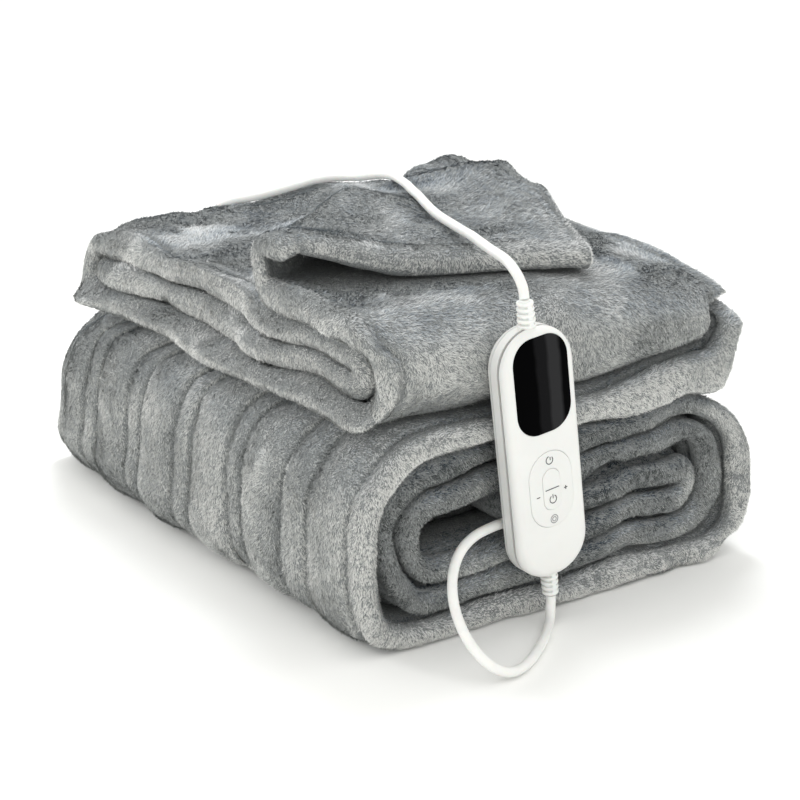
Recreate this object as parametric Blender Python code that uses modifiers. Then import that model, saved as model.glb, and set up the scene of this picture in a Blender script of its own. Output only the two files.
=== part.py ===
"""Electric heated blanket, folded and rolled, with its hand controller and cords.

Metres, +Z up. The origin is on the flat underside of the roll, where the blanket rests. The roll's
axis runs along Y, its near end faces -Y, and the blanket's hemmed left side faces -X.
"""

import math
from collections import namedtuple

import bmesh
import bpy
from mathutils import Vector

# Cloth: one two-ply plush sheet with its pile, and how far apart its folded layers lie
ROLL_PLY = 0.0165
PACK_PLY = 0.0155
HEM_SHARE = 0.55  # how thick a hem still is at its very edge
HEM_ROUND = 0.006  # how far in from the edge a hem reaches its full thickness
HEM_CAP_POINTS = 3

# Lower roll, with the fold that comes down the right side of the pack. Stations along Y.
ROLL_NEAR_Y = -0.205
ROLL_FAR_Y = 0.215
ROLL_STATIONS_Y = (-0.168, -0.120, -0.060, 0.020, 0.100, 0.150, 0.180, 0.200)
ROLL_TAPER_Y = 0.140  # past this the far end draws in
ROLL_TAPER_ACROSS = 0.07
ROLL_TAPER_DOWN = 0.16
SIDE_FOLD_FAR_Y = 0.184
SIDE_FOLD_Z = (0.108, 0.128)  # the roll ends and the side fold begins between these heights

# Upper pack. Stations along X.
PACK_LEFT_X = -0.151
PACK_RIGHT_X = 0.122
PACK_STATIONS_X = (-0.122, -0.098, -0.072, -0.044, -0.016, 0.012, 0.030, 0.041, 0.050, 0.060, 0.070, 0.080)
PACK_STATIONS_X += (0.091, 0.102, 0.111)
PACK_FLOOR_Z = 0.1309
PACK_TOP_Z = 0.1966

# The corner folded back on top: the fold runs from the left hem to the right side
FOLD_START = Vector((-0.158, -0.095))
FOLD_END = Vector((0.112, 0.092))
FLAP_CORNER = Vector((0.038, -0.160))
FLAP_LEVEL_Z = 0.2056
LEAST_FLAP = 0.014
TURN_POINTS = 7
ROLL_RUN_POINTS = 4
PACK_RUN_POINTS = 10
TOP_RUN_POINTS = 11
FLAP_RUN_POINTS = 6

# A run of cloth ends in each turn: which way it bulges, where the turn starts, the heights
# before and after it, and how far it bulges
Turn = namedtuple("Turn", "side at z_before z_after reach bend", defaults=(1.0,))
ROLL_START = (0.076, 0.1800)
ROLL_TURNS = (
    Turn(+1, 0.103, 0.1800, 0.1222, 0.0210),
    Turn(-1, -0.105, 0.1210, 0.00825, 0.0475, 0.52),
    Turn(+1, 0.095, 0.00825, 0.1050, 0.0415, 0.72),
    Turn(-1, -0.105, 0.1030, 0.0265, 0.0290),
    Turn(+1, 0.095, 0.0265, 0.0865, 0.0232),
    Turn(-1, -0.101, 0.0850, 0.0447, 0.0148),
    Turn(+1, 0.0895, 0.0447, 0.0630, 0.00915),
)
ROLL_END = (-0.040, 0.0630)
PACK_START = (0.150, 0.1553)
PACK_TURNS = (
    Turn(-1, -0.170, 0.1553, 0.1720, 0.00835),
    Turn(+1, 0.158, 0.1720, 0.1387, 0.0160),
    Turn(-1, -0.172, 0.1387, 0.1888, 0.0265),
)

# Soft rises of the folded-back corner: middle, spread and height
Rise = namedtuple("Rise", "x y spread_x spread_y height")
FLAP_RISES = (
    Rise(-0.128, -0.098, 0.036, 0.040, 0.015),
    Rise(-0.056, -0.026, 0.060, 0.046, 0.014),
    Rise(0.056, -0.088, 0.030, 0.030, 0.015),
    Rise(0.080, -0.022, 0.036, 0.052, 0.022),
)

# Where the cloth eases away from its straight layers: how far, and the stretch along X, along Y and
# up Z over which that comes in
Ease = namedtuple("Ease", "amount x y z")
ALL = None
PARTED = Ease(0.012, (0.010, 0.100), (-0.145, -0.190), ALL)  # the layers part at the near right
PARTED_FROM_Z = (0.121, 0.130)
PARTED_TO_Z = (0.176, 0.136)
FOLD_SET_BACK = Ease(0.034, ALL, (-0.100, -0.205), (0.148, 0.174))
LEFT_PUFF = Ease(0.009, ALL, (-0.080, 0.060), ALL)
LEFT_PUFF_LOSS = Ease(-0.005, (-0.100, 0.020), (-0.080, 0.060), ALL)
BACK_PUFF = Ease(0.017, (-0.050, 0.050), (0.025, 0.150), ALL)
FRONT_DROOP = Ease(-0.010, (-0.020, 0.100), (-0.105, -0.185), ALL)
RIGHT_PRESS = (Ease(0.12, (0.055, 0.105), ALL, ALL), Ease(0.16, (0.096, 0.130), ALL, ALL))
CORNER_SET_BACK = Ease(0.012, (0.090, 0.124), (-0.150, -0.190), ALL)
LEFT_WAVE = Ease(0.0025, (-0.100, -0.140), ALL, ALL)  # the left hem runs unevenly
LEFT_WAVE_TURNS = (31, 90)  # radians for each metre along Y and up Z

# Controller, in its own frame: X across, Y through it (the keys face -Y), Z along it
CONTROLLER_SIZE = Vector((0.0505, 0.0195, 0.1545))
CONTROLLER_PLACE = Vector((-0.0423, -0.21555, 0.1094))
CONTROLLER_LEAN = math.radians(-7.6)
CONTROLLER_CORNER = 0.0234
CONTROLLER_EDGE = 0.0055
SHELL_SPLIT_Y = 0.001
PIECE_GAP = 0.0003
WINDOW_SIZE = Vector((0.0382, 0.0016, 0.0582))
WINDOW_CORNER = 0.0145
WINDOW_Z = 0.0440
KEYPAD_SIZE = Vector((0.0308, 0.0020, 0.0472))
KEYPAD_Z = -0.0206
CENTRE_KEY_SIZE = Vector((0.0124, 0.0016, 0.0256))
PLATE_EDGE = 0.0003  # how much a window's or key's front edge is softened
PLATE_CORNER_SPARE = 0.0002  # keeps a round end from closing to a point
POCKET_DEPTH = 0.0013
POCKET_OUTSIDE = 0.004  # how far a pocket's cutter stands out of the face it cuts
KEY_POCKET_DEPTH = 0.0008
RELIEF_LENGTH = 0.020
RELIEF_SOCKET = 0.004
RELIEF_BASE_RADIUS = 0.0057
RELIEF_END_RADIUS = 0.0047
RELIEF_RIBS = 5
RIB_DEPTH = 0.0011
RIB_PROFILE = ((0.10, 0), (0.62, 0), (0.70, 1), (0.98, 1))  # share of a rib's pitch, and if it is cut in

# Cords
CORD_DIAMETER = 0.006
CORD_POINT_EVERY = 0.014
CORD_STUB = 0.0015  # how far a cord runs straight at each of its ends
COIL_PLACE = Vector((0.052, 0.300))
COIL_TURN_RADII = (0.027, 0.033, 0.039)
COIL_LAYERS = 2
COIL_EDGE = 0.0020
COIL_LIFT = 0.0001
COIL_STEPS = 40
PLUG_SIZE = Vector((0.040, 0.025, 0.017))
BLADE_SIZE = Vector((0.017, 0.0015, 0.0063))
BLADE_SPACING = 0.0127
PLUG_NECK = (0.42, 0.50)  # how wide and how high its cord end is, as shares of its face
PLUG_EDGE = 0.0030
ROUTE_FINE_STEPS = 24

# The mains cord's way from the controller over the blanket and down behind it to the coil
MAINS_ROUTE = (
    (-0.0547, -0.21555, 0.2025),
    (-0.0549, -0.21555, 0.2041),
    (-0.0554, -0.2149, 0.2082),
    (-0.0560, -0.2123, 0.2130),
    (-0.0558, -0.2075, 0.2168),
    (-0.0543, -0.2005, 0.2192),
    (-0.0516, -0.1905, 0.2204),
    (-0.0478, -0.1750, 0.2210),
    (-0.0420, -0.1560, 0.2215),
    (-0.0352, -0.1390, 0.2209),
    (-0.0286, -0.1220, 0.2196),
    (-0.0220, -0.1000, 0.2194),
    (-0.0176, -0.0820, 0.2200),
    (-0.0148, -0.0690, 0.2215),
    (-0.0110, -0.0560, 0.2232),
    (-0.0060, -0.0425, 0.2244),
    (0.0020, -0.0220, 0.2248),
    (0.0103, -0.0035, 0.2244),
    (0.0180, 0.0155, 0.2235),
    (0.0240, 0.0320, 0.2226),
    (0.0305, 0.0510, 0.2200),
    (0.0395, 0.0760, 0.2150),
    (0.0480, 0.1000, 0.2096),
    (0.0555, 0.1200, 0.2049),
    (0.0598, 0.1340, 0.2019),
    (0.0596, 0.1450, 0.2002),
    (0.0540, 0.1532, 0.1991),
    (0.0450, 0.1570, 0.1986),
    (0.0330, 0.1576, 0.1978),
    (0.0180, 0.1562, 0.1960),
    (-0.0100, 0.1565, 0.1922),
    (-0.0300, 0.1665, 0.1880),
    (-0.0370, 0.1780, 0.1815),
    (-0.0400, 0.1885, 0.1690),
    (-0.0410, 0.1970, 0.1530),
    (-0.0410, 0.2050, 0.1340),
    (-0.0410, 0.2124, 0.1140),
    (-0.0400, 0.2180, 0.0940),
    (-0.0390, 0.2214, 0.0710),
    (-0.0370, 0.2240, 0.0480),
    (-0.0320, 0.2280, 0.0270),
    (-0.0210, 0.2345, 0.0115),
    (-0.0050, 0.2420, 0.0046),
    (0.0140, 0.2485, 0.0031),
    (0.0340, 0.2532, 0.0031),
    (0.0520, 0.2547, 0.0031),
)
# From the top of the coil to the plug that lies across it
TAIL_ROUTE = (
    (0.0930, 0.3010, 0.0155),
    (0.0890, 0.3200, 0.0160),
    (0.0740, 0.3330, 0.0175),
    (0.0560, 0.3330, 0.0195),
    (0.0420, 0.3230, 0.0209),
    (0.0365, 0.3110, 0.0209),
)
# From the bottom of the controller over the floor and up into the hollow of the roll
BLANKET_ROUTE = (
    (-0.0299, -0.21555, 0.0164),
    (-0.0297, -0.21555, 0.0149),
    (-0.0307, -0.2167, 0.0090),
    (-0.0336, -0.2200, 0.0047),
    (-0.0376, -0.2243, 0.0031),
    (-0.0444, -0.2308, 0.0031),
    (-0.0524, -0.2384, 0.0031),
    (-0.0635, -0.2472, 0.0031),
    (-0.0760, -0.2560, 0.0031),
    (-0.0885, -0.2625, 0.0035),
    (-0.0985, -0.2645, 0.0052),
    (-0.1060, -0.2615, 0.0088),
    (-0.1108, -0.2555, 0.0140),
    (-0.1133, -0.2480, 0.0206),
    (-0.1138, -0.2395, 0.0286),
    (-0.1120, -0.2310, 0.0374),
    (-0.1075, -0.2230, 0.0464),
    (-0.1008, -0.2166, 0.0540),
    (-0.0920, -0.2118, 0.0600),
    (-0.0820, -0.2086, 0.0634),
    (-0.0730, -0.2062, 0.0642),
    (-0.0655, -0.2038, 0.0640),
    (-0.0590, -0.2019, 0.0635),
    (-0.0512, -0.2004, 0.0630),
)


def smooth(value):
    """0 below 0, 1 above 1, and an even S between."""
    value = min(1.0, max(0.0, value))
    return value * value * (3 - 2 * value)


def ramp(value, stretch):
    """How far a value is along a stretch, eased at both ends; 1 where there is no stretch."""
    return 1.0 if stretch is ALL else smooth((value - stretch[0]) / (stretch[1] - stretch[0]))


def eased(ease, x, y, z=0.0):
    """How far the cloth gives at a place."""
    return ease.amount * ramp(x, ease.x) * ramp(y, ease.y) * ramp(z, ease.z)


def rise_of(x, y):
    """How far the folded-back corner stands up over the place where it would lie flat."""
    total = 0.0
    for rise in FLAP_RISES:
        away = ((x - rise.x) / rise.spread_x) ** 2 + ((y - rise.y) / rise.spread_y) ** 2
        total += rise.height * math.exp(-away)
    return total


# ---------------------------------------------------------------- cloth paths


def turned_path(start, turns, end, run_points):
    """The middle line of a run of cloth that goes back and forth: (along, up) points."""
    path = [start]
    for turn in turns:
        middle = (turn.z_before + turn.z_after) / 2
        half = (turn.z_before - turn.z_after) / 2
        run_from = path[-1]
        for step in range(1, run_points):
            share = step / run_points
            path.append(
                (
                    run_from[0] + (turn.at - run_from[0]) * share,
                    run_from[1] + (turn.z_before - run_from[1]) * share,
                )
            )
        for step in range(TURN_POINTS + 1):
            angle = math.pi * step / TURN_POINTS
            out, up = math.sin(angle), half * math.cos(angle)
            if up < 0:
                out, up = out**turn.bend, -abs(half) * abs(math.cos(angle)) ** turn.bend
            path.append((turn.at + turn.side * turn.reach * out, middle + up))
    if end is not None:
        last = path[-1]
        for share in (0.5, 1.0):
            path.append((last[0] + (end[0] - last[0]) * share, last[1] + (end[1] - last[1]) * share))
    return path


def strip_outline(path, half):
    """The two sides and the two round ends of a strip of cloth along a path."""
    sides = ([], [])
    for index, point in enumerate(path):
        before = Vector(path[max(index - 1, 0)])
        after = Vector(path[min(index + 1, len(path) - 1)])
        along = (after - before).normalized()
        across = Vector((-along.y, along.x))
        sides[0].append(Vector(point) + across * half)
        sides[1].append(Vector(point) - across * half)

    def round_end(index, towards):
        middle = Vector(path[index])
        across = (sides[0][index] - sides[1][index]) / 2
        out = (middle - Vector(path[towards])).normalized() * half
        angles = [math.pi * (step + 1) / (HEM_CAP_POINTS + 1) for step in range(HEM_CAP_POINTS)]
        return [middle + across * math.cos(angle) + out * math.sin(angle) for angle in angles]

    return sides[0], round_end(len(path) - 1, -2), sides[1], round_end(0, 1)


def ring_of(outline):
    """One closed ring of points, from the two sides and two ends of a strip."""
    upper, far_end, lower, near_end = outline
    return upper + far_end + lower[::-1] + near_end[::-1]


def loft_cloth(name, rings, count):
    """A closed solid through rings of points, whose ends are closed across the strip of cloth.

    count is how many points the strip's middle line has.
    """
    shape = bmesh.new()
    rows = [[shape.verts.new(point) for point in ring] for ring in rings]
    size = len(rows[0])
    for row, following in zip(rows, rows[1:]):
        for index in range(size):
            ahead = (index + 1) % size
            shape.faces.new((row[index], row[ahead], following[ahead], following[index]))
    for row in (rows[0], rows[-1]):
        upper = row[:count]
        lower = row[count + HEM_CAP_POINTS : 2 * count + HEM_CAP_POINTS][::-1]
        for index in range(count - 1):
            shape.faces.new((upper[index], upper[index + 1], lower[index + 1], lower[index]))
        shape.faces.new([upper[-1], *row[count : count + HEM_CAP_POINTS], lower[-1]])
        shape.faces.new([lower[0], *row[2 * count + HEM_CAP_POINTS :], upper[0]])
    bmesh.ops.recalc_face_normals(shape, faces=shape.faces)
    mesh = bpy.data.meshes.new(name)
    shape.to_mesh(mesh)
    shape.free()
    return bpy.data.objects.new(name, mesh)


# ------------------------------------------------------------------- the roll


def roll_point(x, y, z):
    """Where a point of the straight roll lies in the real one."""
    above = ramp(z, SIDE_FOLD_Z)
    length = 1 - above * (ROLL_FAR_Y - SIDE_FOLD_FAR_Y) / (ROLL_FAR_Y - ROLL_NEAR_Y)
    placed_y = ROLL_NEAR_Y + (y - ROLL_NEAR_Y) * length
    drawn_in = max(0.0, (y - ROLL_TAPER_Y) / (ROLL_FAR_Y - ROLL_TAPER_Y)) ** 2
    placed_x = x * (1 - ROLL_TAPER_ACROSS * drawn_in)
    placed_z = z * (1 - ROLL_TAPER_DOWN * drawn_in * (1 - above))
    parted = eased(PARTED, x, y) * ramp(z, PARTED_FROM_Z) * ramp(z, PARTED_TO_Z)
    return Vector((placed_x, placed_y + eased(FOLD_SET_BACK, x, y, z), placed_z + parted))


def hem_stations(first, inner, last):
    """(station, share of the full thickness) from one hem to the other."""
    ends = [(first, HEM_SHARE), (first + HEM_ROUND, 1.0)]
    return ends + [(place, 1.0) for place in inner] + [(last - HEM_ROUND, 1.0), (last, HEM_SHARE)]


def make_roll():
    """The rolled part, from its inner end to the fold that goes up the right side of the pack."""
    path = turned_path(ROLL_START, ROLL_TURNS, ROLL_END, ROLL_RUN_POINTS)
    rings = []
    for y, share in hem_stations(ROLL_NEAR_Y, ROLL_STATIONS_Y, ROLL_FAR_Y):
        ring = ring_of(strip_outline(path, ROLL_PLY / 2 * share))
        rings.append([roll_point(point.x, y, point.y) for point in ring])
    return loft_cloth("blanket", rings, len(path))


# ------------------------------------------------------------------- the pack


def fold_y(x):
    """How far back the top layer reaches before it folds over."""
    run = FOLD_END - FOLD_START
    return FOLD_START.y + run.y / run.x * (x - FOLD_START.x)


def flap_edge_y(x):
    """The folded-back corner's free edge: its front hem, then its right hem."""
    start, end = (FOLD_START, FLAP_CORNER) if x < FLAP_CORNER.x else (FLAP_CORNER, FOLD_END)
    return start.y + (end.y - start.y) / (end.x - start.x) * (x - start.x)


def pack_path(x):
    """The middle line of the pack's cloth at one station, as (y, z, share of the corner's rise)."""
    path = [(*point, 0.0) for point in turned_path(PACK_START, PACK_TURNS, None, PACK_RUN_POINTS)]
    back = fold_y(x)
    radius = (FLAP_LEVEL_Z - PACK_TURNS[-1].z_after) / 2
    run_from = path[-1][0]
    for step in range(1, TOP_RUN_POINTS):
        path.append((run_from + (back - run_from) * step / TOP_RUN_POINTS, PACK_TURNS[-1].z_after, 0.0))
    for step in range(TURN_POINTS + 1):
        angle = math.pi * step / TURN_POINTS
        height = FLAP_LEVEL_Z - radius - radius * math.cos(angle)
        path.append((back + radius * math.sin(angle), height, step / TURN_POINTS))
    edge = min(flap_edge_y(x), back - LEAST_FLAP)
    for step in range(1, FLAP_RUN_POINTS + 1):
        path.append((back + (edge - back) * step / FLAP_RUN_POINTS, FLAP_LEVEL_Z, 1.0))
    return path


def pack_point(x, y, z, rise_share):
    """Where a point of the straight pack lies in the real one."""
    level = min(1.0, max(0.0, (z - PACK_FLOOR_Z) / (PACK_TOP_Z - PACK_FLOOR_Z)))
    puffs = (LEFT_PUFF, LEFT_PUFF_LOSS, BACK_PUFF, FRONT_DROOP)
    placed_z = z + level * sum(eased(ease, x, y) for ease in puffs)
    placed_z -= (placed_z - PACK_FLOOR_Z) * sum(eased(ease, x, y) for ease in RIGHT_PRESS)
    placed_z += eased(PARTED, x, y) * (1 - level)
    placed_z += rise_share * rise_of(x, y)
    wave = math.sin(LEFT_WAVE_TURNS[0] * y + LEFT_WAVE_TURNS[1] * z)
    return Vector((x + wave * eased(LEFT_WAVE, x, y), y + eased(CORNER_SET_BACK, x, y), placed_z))


def make_pack():
    """The folded part on top of the roll, with its corner turned back over it."""
    rings = []
    for x, share in hem_stations(PACK_LEFT_X, PACK_STATIONS_X, PACK_RIGHT_X):
        path = pack_path(x)
        flat = [(y, z) for y, z, _ in path]
        rises = [rise for _, _, rise in path]
        caps = [rises[-1]] * HEM_CAP_POINTS, [rises[0]] * HEM_CAP_POINTS
        ring = ring_of(strip_outline(flat, PACK_PLY / 2 * share))
        rises = rises + caps[0] + rises[::-1] + caps[1]
        rings.append([pack_point(x, point.x, point.y, rise) for point, rise in zip(ring, rises)])
        count = len(path)
    return loft_cloth("pack_folds", rings, count)


# ------------------------------------------------------------- the controller


def soften(shape, edges, offset, segments):
    """Rounds some edges of a shape."""
    bmesh.ops.bevel(
        shape, geom=edges, offset=offset, offset_type="OFFSET", segments=segments, profile=0.5, affect="EDGES"
    )


def rounded_plate(name, size, corner, edge):
    """A plate standing in XZ, with round corners and softened front and back edges."""
    shape = bmesh.new()
    bmesh.ops.create_cube(shape, size=1)
    bmesh.ops.scale(shape, vec=size, verts=shape.verts)
    through = [e for e in shape.edges if abs((e.verts[0].co - e.verts[1].co).normalized().y) > 0.9]
    soften(shape, through, corner, segments=6)
    if edge:
        rims = [e for e in shape.edges if abs((e.verts[0].co - e.verts[1].co).y) < 1e-6]
        soften(shape, rims, edge, segments=3)
    mesh = bpy.data.meshes.new(name)
    shape.to_mesh(mesh)
    shape.free()
    mesh.shade_smooth()
    mesh.set_sharp_from_angle(angle=math.radians(40))
    return bpy.data.objects.new(name, mesh)


def cut_at(piece, y, keep_front):
    """Keeps the part of a closed piece in front of, or behind, a plane across Y."""
    shape = bmesh.new()
    shape.from_mesh(piece.data)
    result = bmesh.ops.bisect_plane(
        shape,
        geom=[*shape.verts, *shape.edges, *shape.faces],
        plane_co=(0, y, 0),
        plane_no=(0, 1, 0),
        clear_outer=keep_front,
        clear_inner=not keep_front,
    )
    rim = [item for item in result["geom_cut"] if isinstance(item, bmesh.types.BMEdge)]
    bmesh.ops.contextual_create(shape, geom=rim)
    bmesh.ops.recalc_face_normals(shape, faces=shape.faces)
    shape.to_mesh(piece.data)
    shape.free()


def turned_sleeve(name, ribs):
    """A tapered, ribbed sleeve along +Z from the origin, turned from its profile."""
    pitch = RELIEF_LENGTH / ribs
    profile = []
    for rib in range(ribs):
        for height, groove in RIB_PROFILE:
            along = (rib + height) * pitch
            taper = (RELIEF_END_RADIUS - RELIEF_BASE_RADIUS) * along / RELIEF_LENGTH
            profile.append((RELIEF_BASE_RADIUS + taper - RIB_DEPTH * groove, along))
    points = [(0.0, RELIEF_LENGTH)] + profile[::-1] + [(0.0, 0.0)]
    mesh = bpy.data.meshes.new(name)
    steps = [(index, index + 1) for index in range(len(points) - 1)]
    mesh.from_pydata([(radius, 0, z) for radius, z in points], steps, [])
    piece = bpy.data.objects.new(name, mesh)
    screw = piece.modifiers.new("turn", "SCREW")
    screw.steps = screw.render_steps = 16
    screw.use_merge_vertices = True
    screw.merge_threshold = 0.00005
    return piece


def pocket(plate, depth, front_y):
    """A cutter that makes a plate's pocket in the face it is let into."""
    cutter = plate.copy()
    cutter.data = plate.data.copy()
    cutter.name = plate.name + "_pocket"
    size = plate.dimensions
    grow = Vector(((size.x + 2 * PIECE_GAP) / size.x, 1, (size.z + 2 * PIECE_GAP) / size.z))
    for vertex in cutter.data.vertices:
        side = 1 if vertex.co.y > 0 else -1
        vertex.co.x *= grow.x
        vertex.co.z *= grow.z
        vertex.co.y = depth if side > 0 else -POCKET_OUTSIDE
    cutter.location = Vector((plate.location.x, front_y, plate.location.z))
    return cutter


def round_cutter(name, radius, length):
    """An upright cylinder that cuts a round socket."""
    shape = bmesh.new()
    bmesh.ops.create_cone(shape, cap_ends=True, segments=24, radius1=radius, radius2=radius, depth=length)
    mesh = bpy.data.meshes.new(name)
    shape.to_mesh(mesh)
    shape.free()
    return bpy.data.objects.new(name, mesh)


def as_tool(obj, cutters):
    """Puts a helper where renders leave it out."""
    obj.hide_render = True
    obj.display_type = "WIRE"
    cutters.objects.link(obj)


def subtract(piece, cutter):
    """Adds a Boolean cut."""
    cut = piece.modifiers.new(cutter.name, "BOOLEAN")
    cut.operation = "DIFFERENCE"
    cut.object = cutter


def make_controller(parts, cutters):
    """The shells, window, keypad, centre key and strain reliefs, all hung on one empty."""
    holder = bpy.data.objects.new("controller_axis", None)
    holder.location = CONTROLLER_PLACE
    holder.rotation_euler = (0, CONTROLLER_LEAN, 0)
    parts.objects.link(holder)
    front_y = -CONTROLLER_SIZE.y / 2

    front = rounded_plate("controller_front_shell", CONTROLLER_SIZE, CONTROLLER_CORNER, CONTROLLER_EDGE)
    cut_at(front, SHELL_SPLIT_Y, keep_front=True)
    back = rounded_plate("controller_back_shell", CONTROLLER_SIZE, CONTROLLER_CORNER, CONTROLLER_EDGE)
    cut_at(back, SHELL_SPLIT_Y + PIECE_GAP, keep_front=False)

    window = rounded_plate("controller_window", WINDOW_SIZE, WINDOW_CORNER, PLATE_EDGE)
    window.location = (0, front_y + POCKET_DEPTH - PIECE_GAP - WINDOW_SIZE.y / 2, WINDOW_Z)
    keypad_corner = KEYPAD_SIZE.x / 2 - PLATE_CORNER_SPARE
    keypad = rounded_plate("controller_keypad", KEYPAD_SIZE, keypad_corner, PLATE_EDGE)
    keypad.location = (0, front_y + POCKET_DEPTH - PIECE_GAP - KEYPAD_SIZE.y / 2, KEYPAD_Z)
    key_corner = CENTRE_KEY_SIZE.x / 2 - PLATE_CORNER_SPARE
    key = rounded_plate("controller_centre_key", CENTRE_KEY_SIZE, key_corner, PLATE_EDGE)
    keypad_front = keypad.location.y - KEYPAD_SIZE.y / 2
    key.location = (0, keypad_front + KEY_POCKET_DEPTH - PIECE_GAP - CENTRE_KEY_SIZE.y / 2, KEYPAD_Z)

    for piece, plate, depth, face in (
        (front, window, POCKET_DEPTH, front_y),
        (front, keypad, POCKET_DEPTH, front_y),
        (keypad, key, KEY_POCKET_DEPTH, keypad_front),
    ):
        cutter = pocket(plate, depth, face)
        if piece is keypad:
            cutter.location.y -= keypad.location.y
            cutter.location.z -= keypad.location.z
            cutter.parent = keypad
        else:
            cutter.parent = holder
        as_tool(cutter, cutters)
        subtract(piece, cutter)

    pieces = [front, back, window, keypad, key]
    socket_z = CONTROLLER_SIZE.z / 2 - RELIEF_SOCKET
    for name, side in (("strain_relief_top", 1), ("strain_relief_bottom", -1)):
        relief = turned_sleeve(name, RELIEF_RIBS)
        relief.location = (0, 0, side * (socket_z + PIECE_GAP))
        relief.rotation_euler = (0 if side > 0 else math.pi, 0, 0)
        pieces.append(relief)
        cutter = round_cutter(name + "_socket", RELIEF_BASE_RADIUS + PIECE_GAP, 2 * RELIEF_SOCKET)
        cutter.location = (0, 0, side * (socket_z + RELIEF_SOCKET))
        cutter.parent = holder
        as_tool(cutter, cutters)
        for shell in (front, back):
            subtract(shell, cutter)
    for piece in pieces:
        piece.parent = holder
        parts.objects.link(piece)
    return pieces


# ------------------------------------------------------------------ the cords


def smooth_route(points, spacing):
    """Points at even spacing along one smooth curve through a route's own points."""
    points = [Vector(point) for point in points]
    ends = [points[0] * 2 - points[1], *points, points[-1] * 2 - points[-2]]
    fine = []
    for p0, p1, p2, p3 in zip(ends, ends[1:], ends[2:], ends[3:]):
        for step in range(ROUTE_FINE_STEPS):
            t = step / ROUTE_FINE_STEPS
            fine.append(
                0.5
                * (
                    2 * p1
                    + (p2 - p0) * t
                    + (2 * p0 - 5 * p1 + 4 * p2 - p3) * t * t
                    + (3 * p1 - p0 - 3 * p2 + p3) * t * t * t
                )
            )
    fine.append(points[-1])
    lengths = [0.0]
    for before, after in zip(fine, fine[1:]):
        lengths.append(lengths[-1] + (after - before).length)
    count = round(lengths[-1] / spacing)
    even, index = [], 0
    for step in range(count + 1):
        wanted = lengths[-1] * step / count
        while index < len(lengths) - 2 and lengths[index + 1] < wanted:
            index += 1
        share = (wanted - lengths[index]) / (lengths[index + 1] - lengths[index])
        even.append(fine[index].lerp(fine[index + 1], min(1.0, share)))
    return even


def make_cord(name, route):
    """A tube along a route, as a curve with closed ends."""
    curve = bpy.data.curves.new(name, "CURVE")
    curve.dimensions = "3D"
    curve.bevel_depth = CORD_DIAMETER / 2
    curve.bevel_resolution = 2
    curve.use_fill_caps = True
    even = smooth_route(route, CORD_POINT_EVERY)
    first, last = Vector(route[0]), Vector(route[-1])
    even.insert(1, first + (Vector(route[1]) - first).normalized() * CORD_STUB)
    even.insert(-1, last + (Vector(route[-2]) - last).normalized() * CORD_STUB)
    line = curve.splines.new("POLY")
    line.points.add(len(even) - 1)
    for point, place in zip(line.points, even):
        point.co = (*place, 1)
    return bpy.data.objects.new(name, curve)


def make_coil(name):
    """The outer shape of the wound cord, turned from a rounded rectangle."""
    inner = COIL_TURN_RADII[0] - CORD_DIAMETER / 2
    outer = COIL_TURN_RADII[-1] + CORD_DIAMETER / 2
    top = COIL_LAYERS * CORD_DIAMETER
    soft = COIL_EDGE
    corners = ((inner, soft), (inner, top - soft), (inner + soft, top), (outer - soft, top))
    corners += ((outer, top - soft), (outer, soft), (outer - soft, 0.0), (inner + soft, 0.0))
    mesh = bpy.data.meshes.new(name)
    shape = bmesh.new()
    section = [shape.verts.new((radius, 0, z)) for radius, z in corners]
    edges = [shape.edges.new((a, b)) for a, b in zip(section, section[1:] + section[:1])]
    bmesh.ops.spin(
        shape,
        geom=section + edges,
        cent=(0, 0, 0),
        axis=(0, 0, 1),
        angle=math.tau,
        steps=COIL_STEPS,
        use_merge=True,
    )
    bmesh.ops.remove_doubles(shape, verts=shape.verts, dist=1e-5)
    bmesh.ops.recalc_face_normals(shape, faces=shape.faces)
    shape.to_mesh(mesh)
    shape.free()
    mesh.shade_smooth()
    coil = bpy.data.objects.new(name, mesh)
    coil.location = (COIL_PLACE.x, COIL_PLACE.y, COIL_LIFT)
    return coil


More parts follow.
